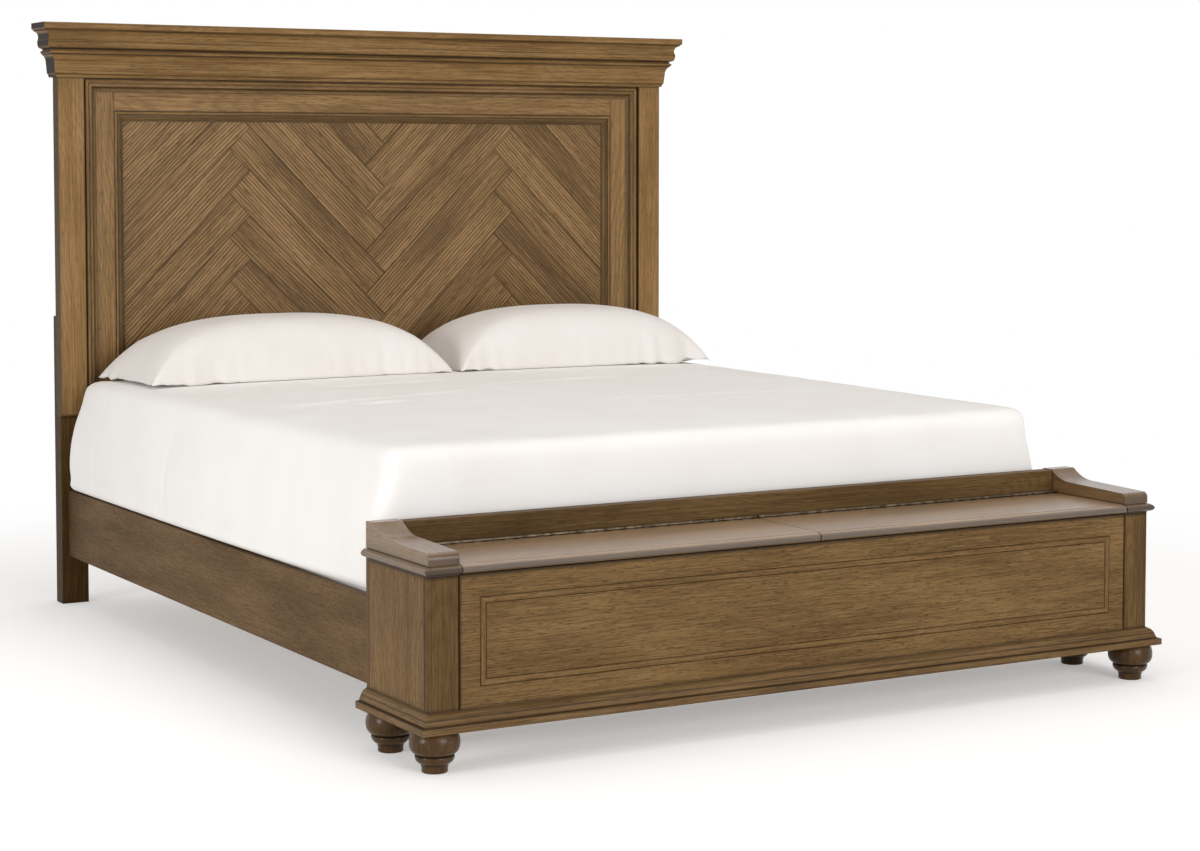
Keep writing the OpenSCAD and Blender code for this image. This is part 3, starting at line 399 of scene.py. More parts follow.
    def material(self, piece: str, grain: Axis, seed: float = 0.0, mitre: Mitre | None = None,
                 lines: Sequence[GlazeAndShadeLine] = ()) -> bpy.types.Material:
        """Makes the finish for one piece.

        Args:
            piece: The piece's name, which ends the material's name.
            grain: The direction of its grain.
            seed: A number that makes its pattern its own.
            mitre: Where its grain turns a corner, if it does.
            lines: Where glaze was left on it and where shade is painted.

        Returns:
            The material.
        """
        material, tree = new_material(f"{self.name}_{piece}")
        self.build(tree, grain_vector(tree, grain, seed, mitre), seed, lines)
        return material


@dataclass(frozen=True)
class BoardFinish:
    """Fibreboard with a plain veneer, unfinished: pale, matte and nearly even, with faint fibres."""

    name: str = "plain_veneered_board"
    light: str = "#A08562"
    dark: str = "#86694A"
    fibre_mm: float = 3.0
    fibre_length_mm: float = 90.0

    def material(self, piece: str, grain: Axis, seed: float = 0.0) -> bpy.types.Material:
        """Makes the board's finish for one piece.

        Args:
            piece: The piece's name.
            grain: The direction of its faint fibres.
            seed: A number that moves the pattern.

        Returns:
            The material.
        """
        material, tree = new_material(f"{self.name}_{piece}")
        vector = grain_vector(tree, grain, seed)
        fibre = stretched(tree, vector, self.fibre_mm, self.fibre_length_mm)
        colour = add_node(tree, "ValToRGB", [fibre], stops=[(0.3, self.dark), (0.7, self.light)])
        relief = add_node(tree, "Bump", {"Height": fibre, "Strength": 0.2, "Distance": 0.2 * MM})
        surface = add_node(tree, "BsdfPrincipled", {
            "Base Color": colour, "Roughness": 0.72, "Normal": relief})
        add_node(tree, "OutputMaterial", [surface])
        return material


@dataclass(frozen=True)
class MetalFinish:
    """Rolled and plated sheet metal: even in colour, with fine rolling marks that blur its shine."""

    name: str
    colour: str
    worn: str
    roughness: float = 0.34
    mark_mm: float = 1.2
    mark_length_mm: float = 45.0

    def material(self, grain: Axis = Axis.X) -> bpy.types.Material:
        """Makes the metal.

        Args:
            grain: The direction of the rolling marks.

        Returns:
            The material.
        """
        material, tree = new_material(self.name)
        vector = grain_vector(tree, grain, 3.0)
        marks = stretched(tree, vector, self.mark_mm, self.mark_length_mm)
        patches = stretched(tree, vector, 14, 22, 3.0)
        colour = add_node(tree, "ValToRGB", [patches], stops=[(0.35, self.worn), (0.62, self.colour)])
        shine = add_node(tree, "Math", (marks, 0.16, self.roughness - 0.08), operation="MULTIPLY_ADD")
        relief = add_node(tree, "Bump", {"Height": marks, "Strength": 0.15, "Distance": 0.05 * MM})
        surface = add_node(tree, "BsdfPrincipled", {
            "Base Color": colour, "Metallic": 1.0, "Roughness": shine, "Normal": relief})
        add_node(tree, "OutputMaterial", [surface])
        return material


@dataclass(frozen=True)
class RubberFinish:
    """Moulded rubber: matte, nearly black, with a faint grain."""

    name: str = "moulded_rubber_pad"
    light: str = "#2B2927"
    dark: str = "#232120"
    grit_mm: float = 1.4

    def material(self) -> bpy.types.Material:
        """Makes the rubber."""
        material, tree = new_material(self.name)
        place = add_node(tree, "TexCoord", out="Object")
        grit = add_node(tree, "TexNoise", {"Vector": place, "Scale": 1 / (self.grit_mm * MM)})
        colour = add_node(tree, "ValToRGB", [grit], stops=[(0.3, self.dark), (0.7, self.light)])
        relief = add_node(tree, "Bump", {"Height": grit, "Strength": 0.3, "Distance": 0.1 * MM})
        surface = add_node(tree, "BsdfPrincipled", {
            "Base Color": colour, "Roughness": 0.86, "Normal": relief})
        add_node(tree, "OutputMaterial", [surface])
        return material


@dataclass(frozen=True)
class CottonFinish:
    """Plain-woven white cotton percale: matte, with a soft bloom at its edges and a fine weave.

    The real threads are 0.25 mm apart; they are drawn 1.6 mm apart so that they show.
    """

    name: str = "white_cotton_percale"
    light: str = "#F5F3F1"
    shadow: str = "#F1EEEA"
    thread_mm: float = 1.6
    relief_mm: float = 0.12

    def material(self, piece: str) -> bpy.types.Material:
        """Makes the cotton for one piece.

        Args:
            piece: The piece's name.

        Returns:
            The material.
        """
        material, tree = new_material(f"{self.name}_{piece}")
        place = add_node(tree, "TexCoord", out="Object")
        patches = add_node(tree, "TexNoise", {"Vector": place, "Scale": 5.0, "Detail": 3.0})
        colour = add_node(tree, "ValToRGB", [patches], stops=[(0.3, self.shadow), (0.7, self.light)])
        step = 2 * math.pi / (self.thread_mm * MM)
        threads = 0.0
        for part in add_node(tree, "SeparateXYZ", [place]).node.outputs:
            turn = add_node(tree, "Math", (part, step), operation="MULTIPLY")
            wave = add_node(tree, "Math", [turn], operation="SINE")
            threads = add_node(tree, "Math", (threads, wave), operation="ADD")
        depth = self.relief_mm * MM
        relief = add_node(tree, "Bump", {"Height": threads, "Strength": 0.25, "Distance": depth})
        surface = add_node(tree, "BsdfPrincipled", {
            "Base Color": colour, "Roughness": 0.88, "Normal": relief, "Sheen Weight": 0.12,
            "Sheen Roughness": 0.5, "Specular IOR Level": 0.25})
        add_node(tree, "OutputMaterial", [surface])
        return material


def finish_piece(name: str, body: bmesh.types.BMesh, smooth: bool = True) -> bpy.types.Object:
    """Turns a bmesh into a piece at the origin.

    Args:
        name: The piece's name.
        body: Its finished mesh, which is freed.
        smooth: Whether its faces shade smoothly.

    Returns:
        The new object, linked to the scene.
    """
    mesh = bpy.data.meshes.new(name)
    bmesh.ops.recalc_face_normals(body, faces=body.faces)
    body.to_mesh(mesh)
    body.free()
    if smooth:
        mesh.shade_smooth()
    else:
        mesh.shade_flat()
    piece = bpy.data.objects.new(name, mesh)
    bpy.context.scene.collection.objects.link(piece)
    LOG.info("%s: %d faces", name, len(mesh.polygons))
    return piece


def moved_points(piece: bpy.types.Object, move: Callable[[Vector, Vector], Vector]) -> None:
    """Moves every point of a piece.

    Args:
        piece: The piece.
        move: Gives a point's new place from its old place and its normal.
    """
    mesh = piece.data
    places = [move(v.co.copy(), v.normal.copy()) for v in mesh.vertices]
    for vertex, place in zip(mesh.vertices, places):
        vertex.co = place
    mesh.update()


@dataclass(frozen=True)
class ClothRun:
    """One run of the cloth solver, which fills a padded piece and draws its cover taut."""

    # The air pressure, the share by which the cover may grow, and the furthest that a point may
    # move, in metres
    pressure: float = 4.0
    spare: float = 0.02
    cap: float = 0.024
    frames: int = 20
    bending: float = 0.4
    stiffness: float = 14.0

    def fill(self, piece: bpy.types.Object, held: Callable[[Vector], float]) -> None:
        """Fills a closed piece with air pressure and keeps the shape that it takes.

        Args:
            piece: The closed piece, a little smaller than it will be.
            held: Gives a start point's share of the movement, from 0, pinned, to 1, free.
        """
        start = [v.co.copy() for v in piece.data.vertices]
        cloth = piece.modifiers.new("fill", "CLOTH")
        settings = cloth.settings
        settings.quality = 5
        settings.mass = 0.3
        settings.tension_stiffness = settings.compression_stiffness = self.stiffness
        settings.shear_stiffness = self.stiffness / 2
        settings.bending_stiffness = self.bending
        settings.use_pressure = True
        settings.uniform_pressure_force = self.pressure
        settings.shrink_min = -self.spare
        settings.effector_weights.gravity = 0
        cloth.point_cache.frame_start = 1
        cloth.point_cache.frame_end = self.frames
        scene = bpy.context.scene
        for frame in range(1, self.frames + 1):
            scene.frame_set(frame)
        solved = piece.evaluated_get(bpy.context.evaluated_depsgraph_get()).data
        ends = [v.co.copy() for v in solved.vertices]
        piece.modifiers.remove(cloth)
        scene.frame_set(1)
        drift = sum((last - first for first, last in zip(start, ends)), Vector()) / len(start)
        for vertex, first, last in zip(piece.data.vertices, start, ends):
            step = (last - first - drift) * held(first)
            if step.length > self.cap:
                step *= self.cap / step.length
            vertex.co = first + step
        piece.data.update()


def subdivided_box(low: Vector, high: Vector, cell: Sequence[float]) -> bmesh.types.BMesh:
    """Makes a box of cells.

    Args:
        low: Its lowest corner.
        high: Its highest corner.
        cell: The wanted edge of a cell along each axis.

    Returns:
        The box.
    """
    body = bmesh.new()
    size = high - low
    bmesh.ops.create_cube(body, size=1.0, matrix=Matrix.Translation((low + high) / 2)
                          @ Matrix.Diagonal((*size, 1.0)))
    for axis in range(3):
        edges = [e for e in body.edges
                 if abs((e.verts[0].co - e.verts[1].co)[axis]) > 0.9 * e.calc_length()]
        cuts = max(1, round(size[axis] / cell[axis])) - 1
        bmesh.ops.subdivide_edges(body, edges=edges, cuts=cuts, use_grid_fill=True)
    return body


def refine(piece: bpy.types.Object, baked: bool = False) -> None:
    """Gives a soft piece one level of subdivision, the same in every view.

    Args:
        piece: The piece.
        baked: Whether the finer mesh takes the place of the piece's own.
    """
    smooth = piece.modifiers.new("smooth", "SUBSURF")
    smooth.levels = smooth.render_levels = 1
    if baked:
        coarse = piece.data
        graph = bpy.context.evaluated_depsgraph_get()
        piece.data = bpy.data.meshes.new_from_object(piece.evaluated_get(graph))
        piece.modifiers.remove(smooth)
        bpy.data.meshes.remove(coarse)


@dataclass
class Bedding:
    """The mattress, the fitted sheet drawn over it, and the two pillows that lie on it."""

    # The sheet's mesh cell, and the radii of the mattress's corners and edges
    cell: float = 0.024
    corner: float = 0.038
    head_corner: float = 0.022
    top_edge: float = 0.040
    fold: float = 0.024
    # How much the top falls to its edges, the space left for the body, and the hem turned under
    crown: float = 0.008
    sheet_air: float = 0.014
    top_air: float = 0.006
    hem: float = 0.07
    # Each crease on top: its middle across and along the bed, its slope, its reach and its depth
    top_creases: tuple[tuple[float, ...], ...] = (
        (-0.55, 0.106, 0.225, 0.36, 0.0075), (-0.54, 0.010, 0.12, 0.07, 0.0110),
        (0.28, 0.36, 0.10, 0.42, 0.0060), (0.35, -0.22, -0.06, 0.45, 0.0030),
        (-0.30, 0.52, 0.05, 0.30, 0.0055))
    top_crease_width: float = 0.015
    # Each upright crease of the sides: its place along the bed and its depth
    side_creases: tuple[tuple[float, float], ...] = ((0.37, 0.0045), (-0.70, 0.0030), (0.93, 0.0030))
    side_crease_width: float = 0.012
    # The pillow's mesh cell, the slant of its open end, and how far its seams bow in
    pillow_cell: float = 0.0105
    pillow_lean: float = 0.012
    pillow_draw: float = 0.03
    # Shares of the pillow's thickness: its own, its seam's height, and how far the seam falls
    pillow_swell: float = 1.03
    seam_share: float = 0.28
    seam_fall: float = 0.86
    # The depth of its gathers, the rim where they fade out, the height below which the case
    # flattens on the sheet, and the air left under it
    gather_depth: float = 0.0105
    gather_rim: float = 0.012
    slack: float = 0.006
    clearance: float = 0.0006
    # Heights of the mesh rows above the underside: close together where the sheet swells out
    rows_mm: tuple[float, ...] = (0, 8, 16, 24, 27, 30, 36, 46, 60, 78, 98, 120, 144, 168, 192, 216,
                                  240, 262, 284, 306, 330, 356)
    # Half widths of the covered mattress at some heights, at its head and at its foot
    levels: tuple[float, ...] = (0.0, 0.024, 0.027, 0.030, 0.046, 0.104, 0.165, 0.226, 0.288, 0.356)
    head_widths: tuple[float, ...] = (0.965, 0.966, 0.972, 1.003, 1.017, 1.024, 1.019, 1.006, 0.983, 0.968)
    foot_widths: tuple[float, ...] = (0.965, 0.966, 0.966, 0.970, 0.977, 0.979, 0.967, 0.953, 0.936, 0.934)
    full_width: float = 0.998
    cotton: CottonFinish = field(default_factory=CottonFinish)
    # The cases' cotton is a darker copy of the sheet's: painted shade on the pillows, whose fronts the front
    # lamp lights strongly
    shaded_pillow_cotton: CottonFinish = field(default_factory=lambda: CottonFinish(
        "white_cotton_percale_case", light="#E8E5E2", shadow="#E2DDD8"))
    ticking: CottonFinish = field(default_factory=lambda: CottonFinish(
        "woven_mattress_ticking", "#E6E0D6", "#D8D0C4", 3.0, 0.3))

    def half_width(self, height: float, share: float) -> float:
        """Gives half the width of the covered mattress.

        Args:
            height: The height above its underside.
            share: The place along it, from 0 at the head to 1 at the foot.

        Returns:
            Half the width: narrow between the rails, full just over them, leaning in above.
        """
        at = max(0.0, min(self.levels[-1], height))
        row = max(1, sum(level < at for level in self.levels))
        part = (at - self.levels[row - 1]) / (self.levels[row] - self.levels[row - 1])
        head, foot = (w[row - 1] + (w[row] - w[row - 1]) * part
                      for w in (self.head_widths, self.foot_widths))
        return head + (foot - head) * share ** 3

    def bed_form(self, low: Vector, high: Vector, cell: float) -> bmesh.types.BMesh:
        """Makes the mattress's form: round corners and edges, sides that swell out over the rails.

        Args:
            low: The lowest corner of its space.
            high: The highest corner.
            cell: The size of a mesh cell.

        Returns:
            The closed form.
        """
        rows = self.rows_mm
        body = subdivided_box(low, high, (cell, cell, (high.z - low.z) / (len(rows) - 1)))
        middle, half = (low + high) / 2, (high - low) / 2
        tall = high.z - low.z
        for vertex in body.verts:
            # The mesh rows move to their own heights
            away = vertex.co - middle
            row = round((away.z / half.z + 1) / 2 * (len(rows) - 1))
            away.z = tall * rows[row] / rows[-1] - half.z
            # Corners and edges become round
            corner = self.head_corner if away.y > 0 else self.corner
            radii = Vector((corner, corner, self.top_edge if away.z > 0 else self.fold))
            inner = Vector([max(-h + r, min(h - r, a)) for a, h, r in zip(away, half, radii)])
            out = Vector([(a - i) / r for a, i, r in zip(away, inner, radii)])
            if out.length > 1e-6:
                out *= max(abs(out.x), abs(out.y), abs(out.z)) / out.length
            place = inner + Vector([o * r for o, r in zip(out, radii)])
            # The sides swell out over the rails, and the top falls a little to its edges
            height = (place.z + half.z) * self.levels[-1] / tall
            place.x *= self.half_width(height, 0.5 - place.y / (2 * half.y)) / self.full_width
            if place.z > 0:
                spread = (place.x / half.x) ** 2 + (place.y / half.y) ** 2
                place.z -= self.crown * min(1.0, spread) * place.z / half.z
            vertex.co = middle + place
        return body

    def sheet_ripple(self, place: Vector, normal: Vector, low: Vector, high: Vector) -> float:
        """Gives the height of the sheet's soft creases at a point.

        Args:
            place: The point on the mattress's form.
            normal: Its normal.
            low: The lowest corner of the mattress.
            high: Not used.

        Returns:
            The height out of the form, in metres.
        """
        # Shallow waves: upright on the sides, rounder on top
        flat = max(0.0, normal.z)
        side = 1 - abs(normal.z)
        drape = noise.noise(Vector((place.x * 5.5, place.y * 5.5, place.z * 0.9)))
        swell = noise.noise(Vector((place.x * 1.9, place.y * 2.6, 4.0)))
        height = side * 0.0007 * drape + flat * 0.0016 * swell
        # Each crease on top is a soft ridge beside a narrow groove, and fades in places
        for across, along, slope, reach, deep in self.top_creases:
            beside = place.x - across
            wander = 0.006 * noise.noise(Vector((place.x * 4.0, along * 9, 1.0)))
            away = (place.y - along - slope * beside - wander) / self.top_crease_width
            broken = 0.6 + 0.8 * noise.noise(Vector((place.x * 5.0, along * 20, 7.0)))
            fold = 0.7 * math.exp(-(away - 1.6) ** 2) - math.exp(-away * away)
            height += flat * deep * max(0.0, broken) * fold * math.exp(-(beside / reach) ** 2)
        for along, deep in self.side_creases:
            lean = 0.02 * (place.z - low.z) + 0.004 * noise.noise(Vector((place.z * 6, along, 2.0)))
            away = (place.y - along - lean) / self.side_crease_width
            height -= side * abs(normal.x) * deep * math.exp(-away * away)
        return height

    def make_mattress(self) -> bpy.types.Object:
        """Makes the mattress itself, just inside the sheet.

        Returns:
            The mattress piece.
        """
        low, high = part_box("mattress")
        inset = Vector((self.sheet_air, self.sheet_air, 0))
        body = self.bed_form(low + inset, high - inset - Vector((0, 0, self.top_air)), 0.05)
        piece = finish_piece("mattress_body", body)
        refine(piece)
        piece.data.materials.append(self.ticking.material("mattress"))
        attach(piece, "root")
        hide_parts("mattress")
        return piece

    def make_sheet(self) -> bpy.types.Object:
        """Makes the fitted sheet: drawn over the mattress by the solver, with its hem turned under.

        Returns:
            The sheet piece.
        """
        low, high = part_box("mattress")
        piece = finish_piece("fitted_sheet", self.bed_form(low, high, self.cell))
        ClothRun(pressure=3.0, spare=0.012, cap=0.008).fill(
            piece, lambda p: 1.0 if p.z > low.z + 0.05 else 0.0)
        refine(piece, baked=True)
        moved_points(piece, lambda p, n: p + n * self.sheet_ripple(p, n, low, high))
        body = bmesh.new()
        body.from_mesh(piece.data)
        middle, half = (low + high) / 2, (high - low) / 2
        under = []
        for face in body.faces:
            away = face.calc_center_median() - middle
            if away.z < 4 * MM - half.z and max(abs(away.x) - half.x, abs(away.y) - half.y) < -self.hem:
                under.append(face)
        bmesh.ops.delete(body, geom=under, context="FACES")
        body.to_mesh(piece.data)
        body.free()
        piece.data.materials.append(self.cotton.material("fitted_sheet"))
        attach(piece, "root")
        return piece

    def pillow_point(self, a: float, b: float, top: bool, half: Vector, thick: float) -> Vector:
        """Gives a point of the pillow's form.

        Args:
            a: The place along the pillow, from -1 to 1.
            b: The place across it, from -1 to 1.
            top: Whether the point is on the upper side.
            half: The pillow's half length and half width.
            thick: Its thickness.

        Returns:
            The point, from the middle of the pillow's underside.
        """
        # A lens: nearly level in the middle and falling ever more steeply to the seams
        full = max(0.0, 1 - abs(a) ** 2.7) ** 0.64 * max(0.0, 1 - abs(b) ** 3.2) ** 0.52
        middle = self.seam_share * thick
        seam = middle * (1 - self.seam_fall * max(a * a, b * b) ** 4)
        x = half.x * a * (1 - self.pillow_draw * (1 - b * b)) - self.pillow_lean * b * (1 - a) / 2
        y = half.y * b * (1 - self.pillow_draw * (1 - a * a))
        height = seam + (thick - middle) * full if top else seam * max(0.0, 1 - 2.6 * full)
        return Vector((x, y, height))

    def pucker(self, a: float, b: float, half: Vector, seed: float) -> float:
        """Gives the height of the small gathers that run in from the pillow's seams.

        Args:
            a: The place along the pillow, from -1 to 1.
            b: The place across it, from -1 to 1.
            half: The pillow's half length and half width.
            seed: A number that makes each pillow's gathers its own.

        Returns:
            The height, in metres.
        """
        total = 0.0
        for along, across, reach in ((a * half.x, (1 - abs(b)) * half.y, 0.06),
                                     (b * half.y, (1 - abs(a)) * half.x, 0.10)):
            wave = noise.noise(Vector((along * 34, across * 5, seed)))
            wave += 0.5 * noise.noise(Vector((along * 71, across * 9, seed + 3)))
            total += wave * math.exp(-across / reach)
        corner = (abs(a) * abs(b)) ** 2
        edge = (min(1.0, (1 - abs(a)) * half.x / self.gather_rim)
                * min(1.0, (1 - abs(b)) * half.y / self.gather_rim))
        return self.gather_depth * total * edge * (0.5 + 2.2 * corner)

    def make_pillow(self, node: str, floor: Callable[[float, float], float], seed: float,
                    grow: tuple[float, float]) -> bpy.types.Object:
        """Makes a pillow in its case: filled by the solver, gathered at its seams, flat where it lies.

        Args:
            node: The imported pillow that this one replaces.
            floor: Gives the sheet's height at a place.
            seed: A number that makes the pillow's folds its own.
            grow: How far the case's tips reach past the filling on the left and right.

        Returns:
            The pillow piece.
        """
        low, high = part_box(node)
        low.x, high.x = low.x - grow[0], high.x + grow[1]
        half, thick = (high - low) / 2, (high - low).z
        middle = Vector(((low.x + high.x) / 2, (low.y + high.y) / 2, low.z))
        columns, rows = (round(2 * h / self.pillow_cell) for h in (half.x, half.y))
        body = bmesh.new()
        for top in (True, False):
            grid = bmesh.ops.create_grid(body, x_segments=columns, y_segments=rows, size=1.0)["verts"]
            for vertex in grid:
                a, b = vertex.co.x, vertex.co.y
                vertex.co = middle + self.pillow_point(a, b, top, half, thick * self.pillow_swell)
            if not top:
                faces = {f for v in grid for f in v.link_faces}
                bmesh.ops.reverse_faces(body, faces=list(faces))
        bmesh.ops.remove_doubles(body, verts=body.verts, dist=0.0004)
        piece = finish_piece(node + "_case", body)

        def held(place: Vector) -> float:
            """Gives a point's share of the movement: little at the seams, all of it further in."""
            inward = min(half.x - abs(place.x - middle.x), half.y - abs(place.y - middle.y))
            return min(1.0, 0.2 + 9 * inward)

        ClothRun(pressure=4.0, spare=0.02, cap=0.012).fill(piece, held)

        def gather(place: Vector, normal: Vector) -> Vector:
            """Lays the gathers on the upper side."""
            a, b = (max(-1.0, min(1.0, (place - middle)[i] / half[i])) for i in (0, 1))
            return place + normal * max(0.0, min(1.0, 0.6 + normal.z)) * self.pucker(a, b, half, seed)

        moved_points(piece, gather)

        def settle(place: Vector, _normal: Vector) -> Vector:
            """Flattens the underside where it lies on the sheet."""
            ground = floor(place.x, place.y) + self.clearance
            if place.z < ground:
                place.z = ground
            elif place.z < ground + self.slack:
                place.z = ground + (place.z - ground) ** 2 / self.slack
            return place

        moved_points(piece, settle)
        refine(piece)
        piece.data.materials.append(self.shaded_pillow_cotton.material(node))
        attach(piece, "root")
        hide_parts(node)
        return piece

    def build(self) -> None:
        """Makes all the bedding, from the mattress up."""
        self.make_mattress()
        sheet = self.make_sheet()
        graph = bpy.context.evaluated_depsgraph_get()
        ray = Vector((0, 0, -1))

        def floor(x: float, y: float) -> float:
            """Gives the sheet's height at a place."""
            start = Vector((x, y, 2.0))
            hit, place, _, _ = sheet.evaluated_get(graph).ray_cast(start, ray)
            return place.z if hit else 0.0

        for node, seed, grow in (("pillow_left", 2.7, (0.024, 0.042)),
                                 ("pillow_right", 8.5, (-0.014, 0.016))):
            self.make_pillow(node, floor, seed, grow)


@dataclass
class HerringboneField:
    """The headboard's field: oak leaves laid at 45 degrees, each with its own cut of grain."""

    length: float = 0.640
    width: float = 0.095
    gap: float = 0.0004
    ease: float = 0.0006
    rim_glaze: float = 0.55
    rim_width: float = 0.003
    valley: tuple[float, float] = (0.037, 1.225)
    finish: OakFinish = field(default_factory=lambda: OakFinish(
        "herringbone_oak_veneer", "#A38158", "#8A6C45", "#513C23", figure=0.85, streaks=0.5, pores=0.6,
        mottle_mm=300, ring_mm=9.5, arch=0.0, sway=0.05, wobble=0.005))

    def leaf_places(self) -> list[tuple[float, float, bool]]:
        """Lists the leaves in the turned grid, whose axes lie at 45 degrees.

        Returns:
            Each leaf's lower corner and whether it stands across the others.
        """
        places = []
        for column in (-1, 0, 1):
            for row in range(-14, 8):
                for across in (False, True):
                    shift = row - 1 if across else row
                    places.append((column * self.length + shift * self.width,
                                   -column * self.length + row * self.width, across))
        return places

    def build(self) -> bpy.types.Object:
        """Makes the leaves, clipped to the field.

        Returns:
            The field piece.
        """
        low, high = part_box("herringbone_leaves")
        body = bmesh.new()
        body.verts.layers.float_vector.new("grain")
        body.verts.layers.float_vector.new("inside")
        rng = random.Random(7)
        lean = Euler((0, -math.pi / 4, 0)).to_matrix().to_4x4()
        turn = Matrix.Translation((self.valley[0], 0, self.valley[1])) @ lean
        back = turn.inverted()
        for p, q, across in self.leaf_places():
            size = (self.width, self.length) if across else (self.length, self.width)
            shift = Vector((rng.uniform(0, 5), rng.uniform(0, 5), rng.uniform(0, 5)))
            # A leaf with eased front edges, cut off at the field's four sides
            leaf = bmesh.new()
            place = Matrix.Translation((p + size[0] / 2, (low.y + high.y) / 2, q + size[1] / 2))
            scale = Matrix.Diagonal((size[0] - self.gap, high.y - low.y, size[1] - self.gap, 1))
            bmesh.ops.create_cube(leaf, size=1.0, matrix=turn @ place @ scale)
            front = [e for e in leaf.edges if all(v.co.y < low.y + 1e-5 for v in e.verts)]
            bmesh.ops.bevel(leaf, geom=front, offset=self.ease, segments=1, profile=0.5,
                            affect="EDGES", material=-1)
            for point, normal in ((low, (-1, 0, 0)), (low, (0, 0, -1)), (high, (1, 0, 0)), (high, (0, 0, 1))):
                cut = bmesh.ops.bisect_plane(leaf, geom=leaf.verts[:] + leaf.edges[:] + leaf.faces[:],
                                             dist=1e-6, plane_co=point, plane_no=normal, clear_outer=True)
                rim = [g for g in cut["geom_cut"] if isinstance(g, bmesh.types.BMEdge)]
                if rim and leaf.faces:
                    bmesh.ops.contextual_create(leaf, geom=rim)
            if not leaf.faces:
                leaf.free()
                continue
            # Its grain and its own coordinates are kept at its points for the shader
            layer = leaf.verts.layers.float_vector.new("grain")
            inside = leaf.verts.layers.float_vector.new("inside")
            for vertex in leaf.verts:
                flat = back @ vertex.co
                along, beside = (flat.z, flat.x) if across else (flat.x, flat.z)
                vertex[layer] = Vector((beside, flat.y, along)) + shift
                vertex[inside] = Vector((beside - (p if across else q), flat.y, along - (q if across else p)))
            mesh = bpy.data.meshes.new("leaf")
            leaf.to_mesh(mesh)
            leaf.free()
            body.from_mesh(mesh)
            bpy.data.meshes.remove(mesh)
        piece = finish_piece("herringbone_field", body, smooth=False)
        piece.data.materials.append(self.material())
        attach(piece, "root")
        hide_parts("herringbone_leaves")
        return piece

    def material(self) -> bpy.types.Material:
        """Makes the veneer, whose grain follows each leaf's own attribute.

        Returns:
            The material.
        """
        material, tree = new_material(self.finish.name)
        vector = add_node(tree, "Attribute", out="Vector", attribute_name="grain")
        inside = add_node(tree, "Attribute", out="Vector", attribute_name="inside")
        beside, _, along = add_node(tree, "SeparateXYZ", [inside]).node.outputs
        # The distance to the leaf's nearest edge: the glaze gathers in its last few millimetres
        rims = []
        for part, half in ((beside, self.width / 2), (along, self.length / 2)):
            away = add_node(tree, "Math", (part, half), operation="SUBTRACT")
            away = add_node(tree, "Math", [away], operation="ABSOLUTE")
            rims.append(add_node(tree, "Math", (half, away), operation="SUBTRACT"))
        rim = add_node(tree, "Math", rims, operation="MINIMUM")
        edge = add_node(tree, "Math", (rim, -self.rim_glaze / self.rim_width, self.rim_glaze),
                        operation="MULTIPLY_ADD", use_clamp=True)
        self.finish.build(tree, vector, 1.0, (), edge)
        return material


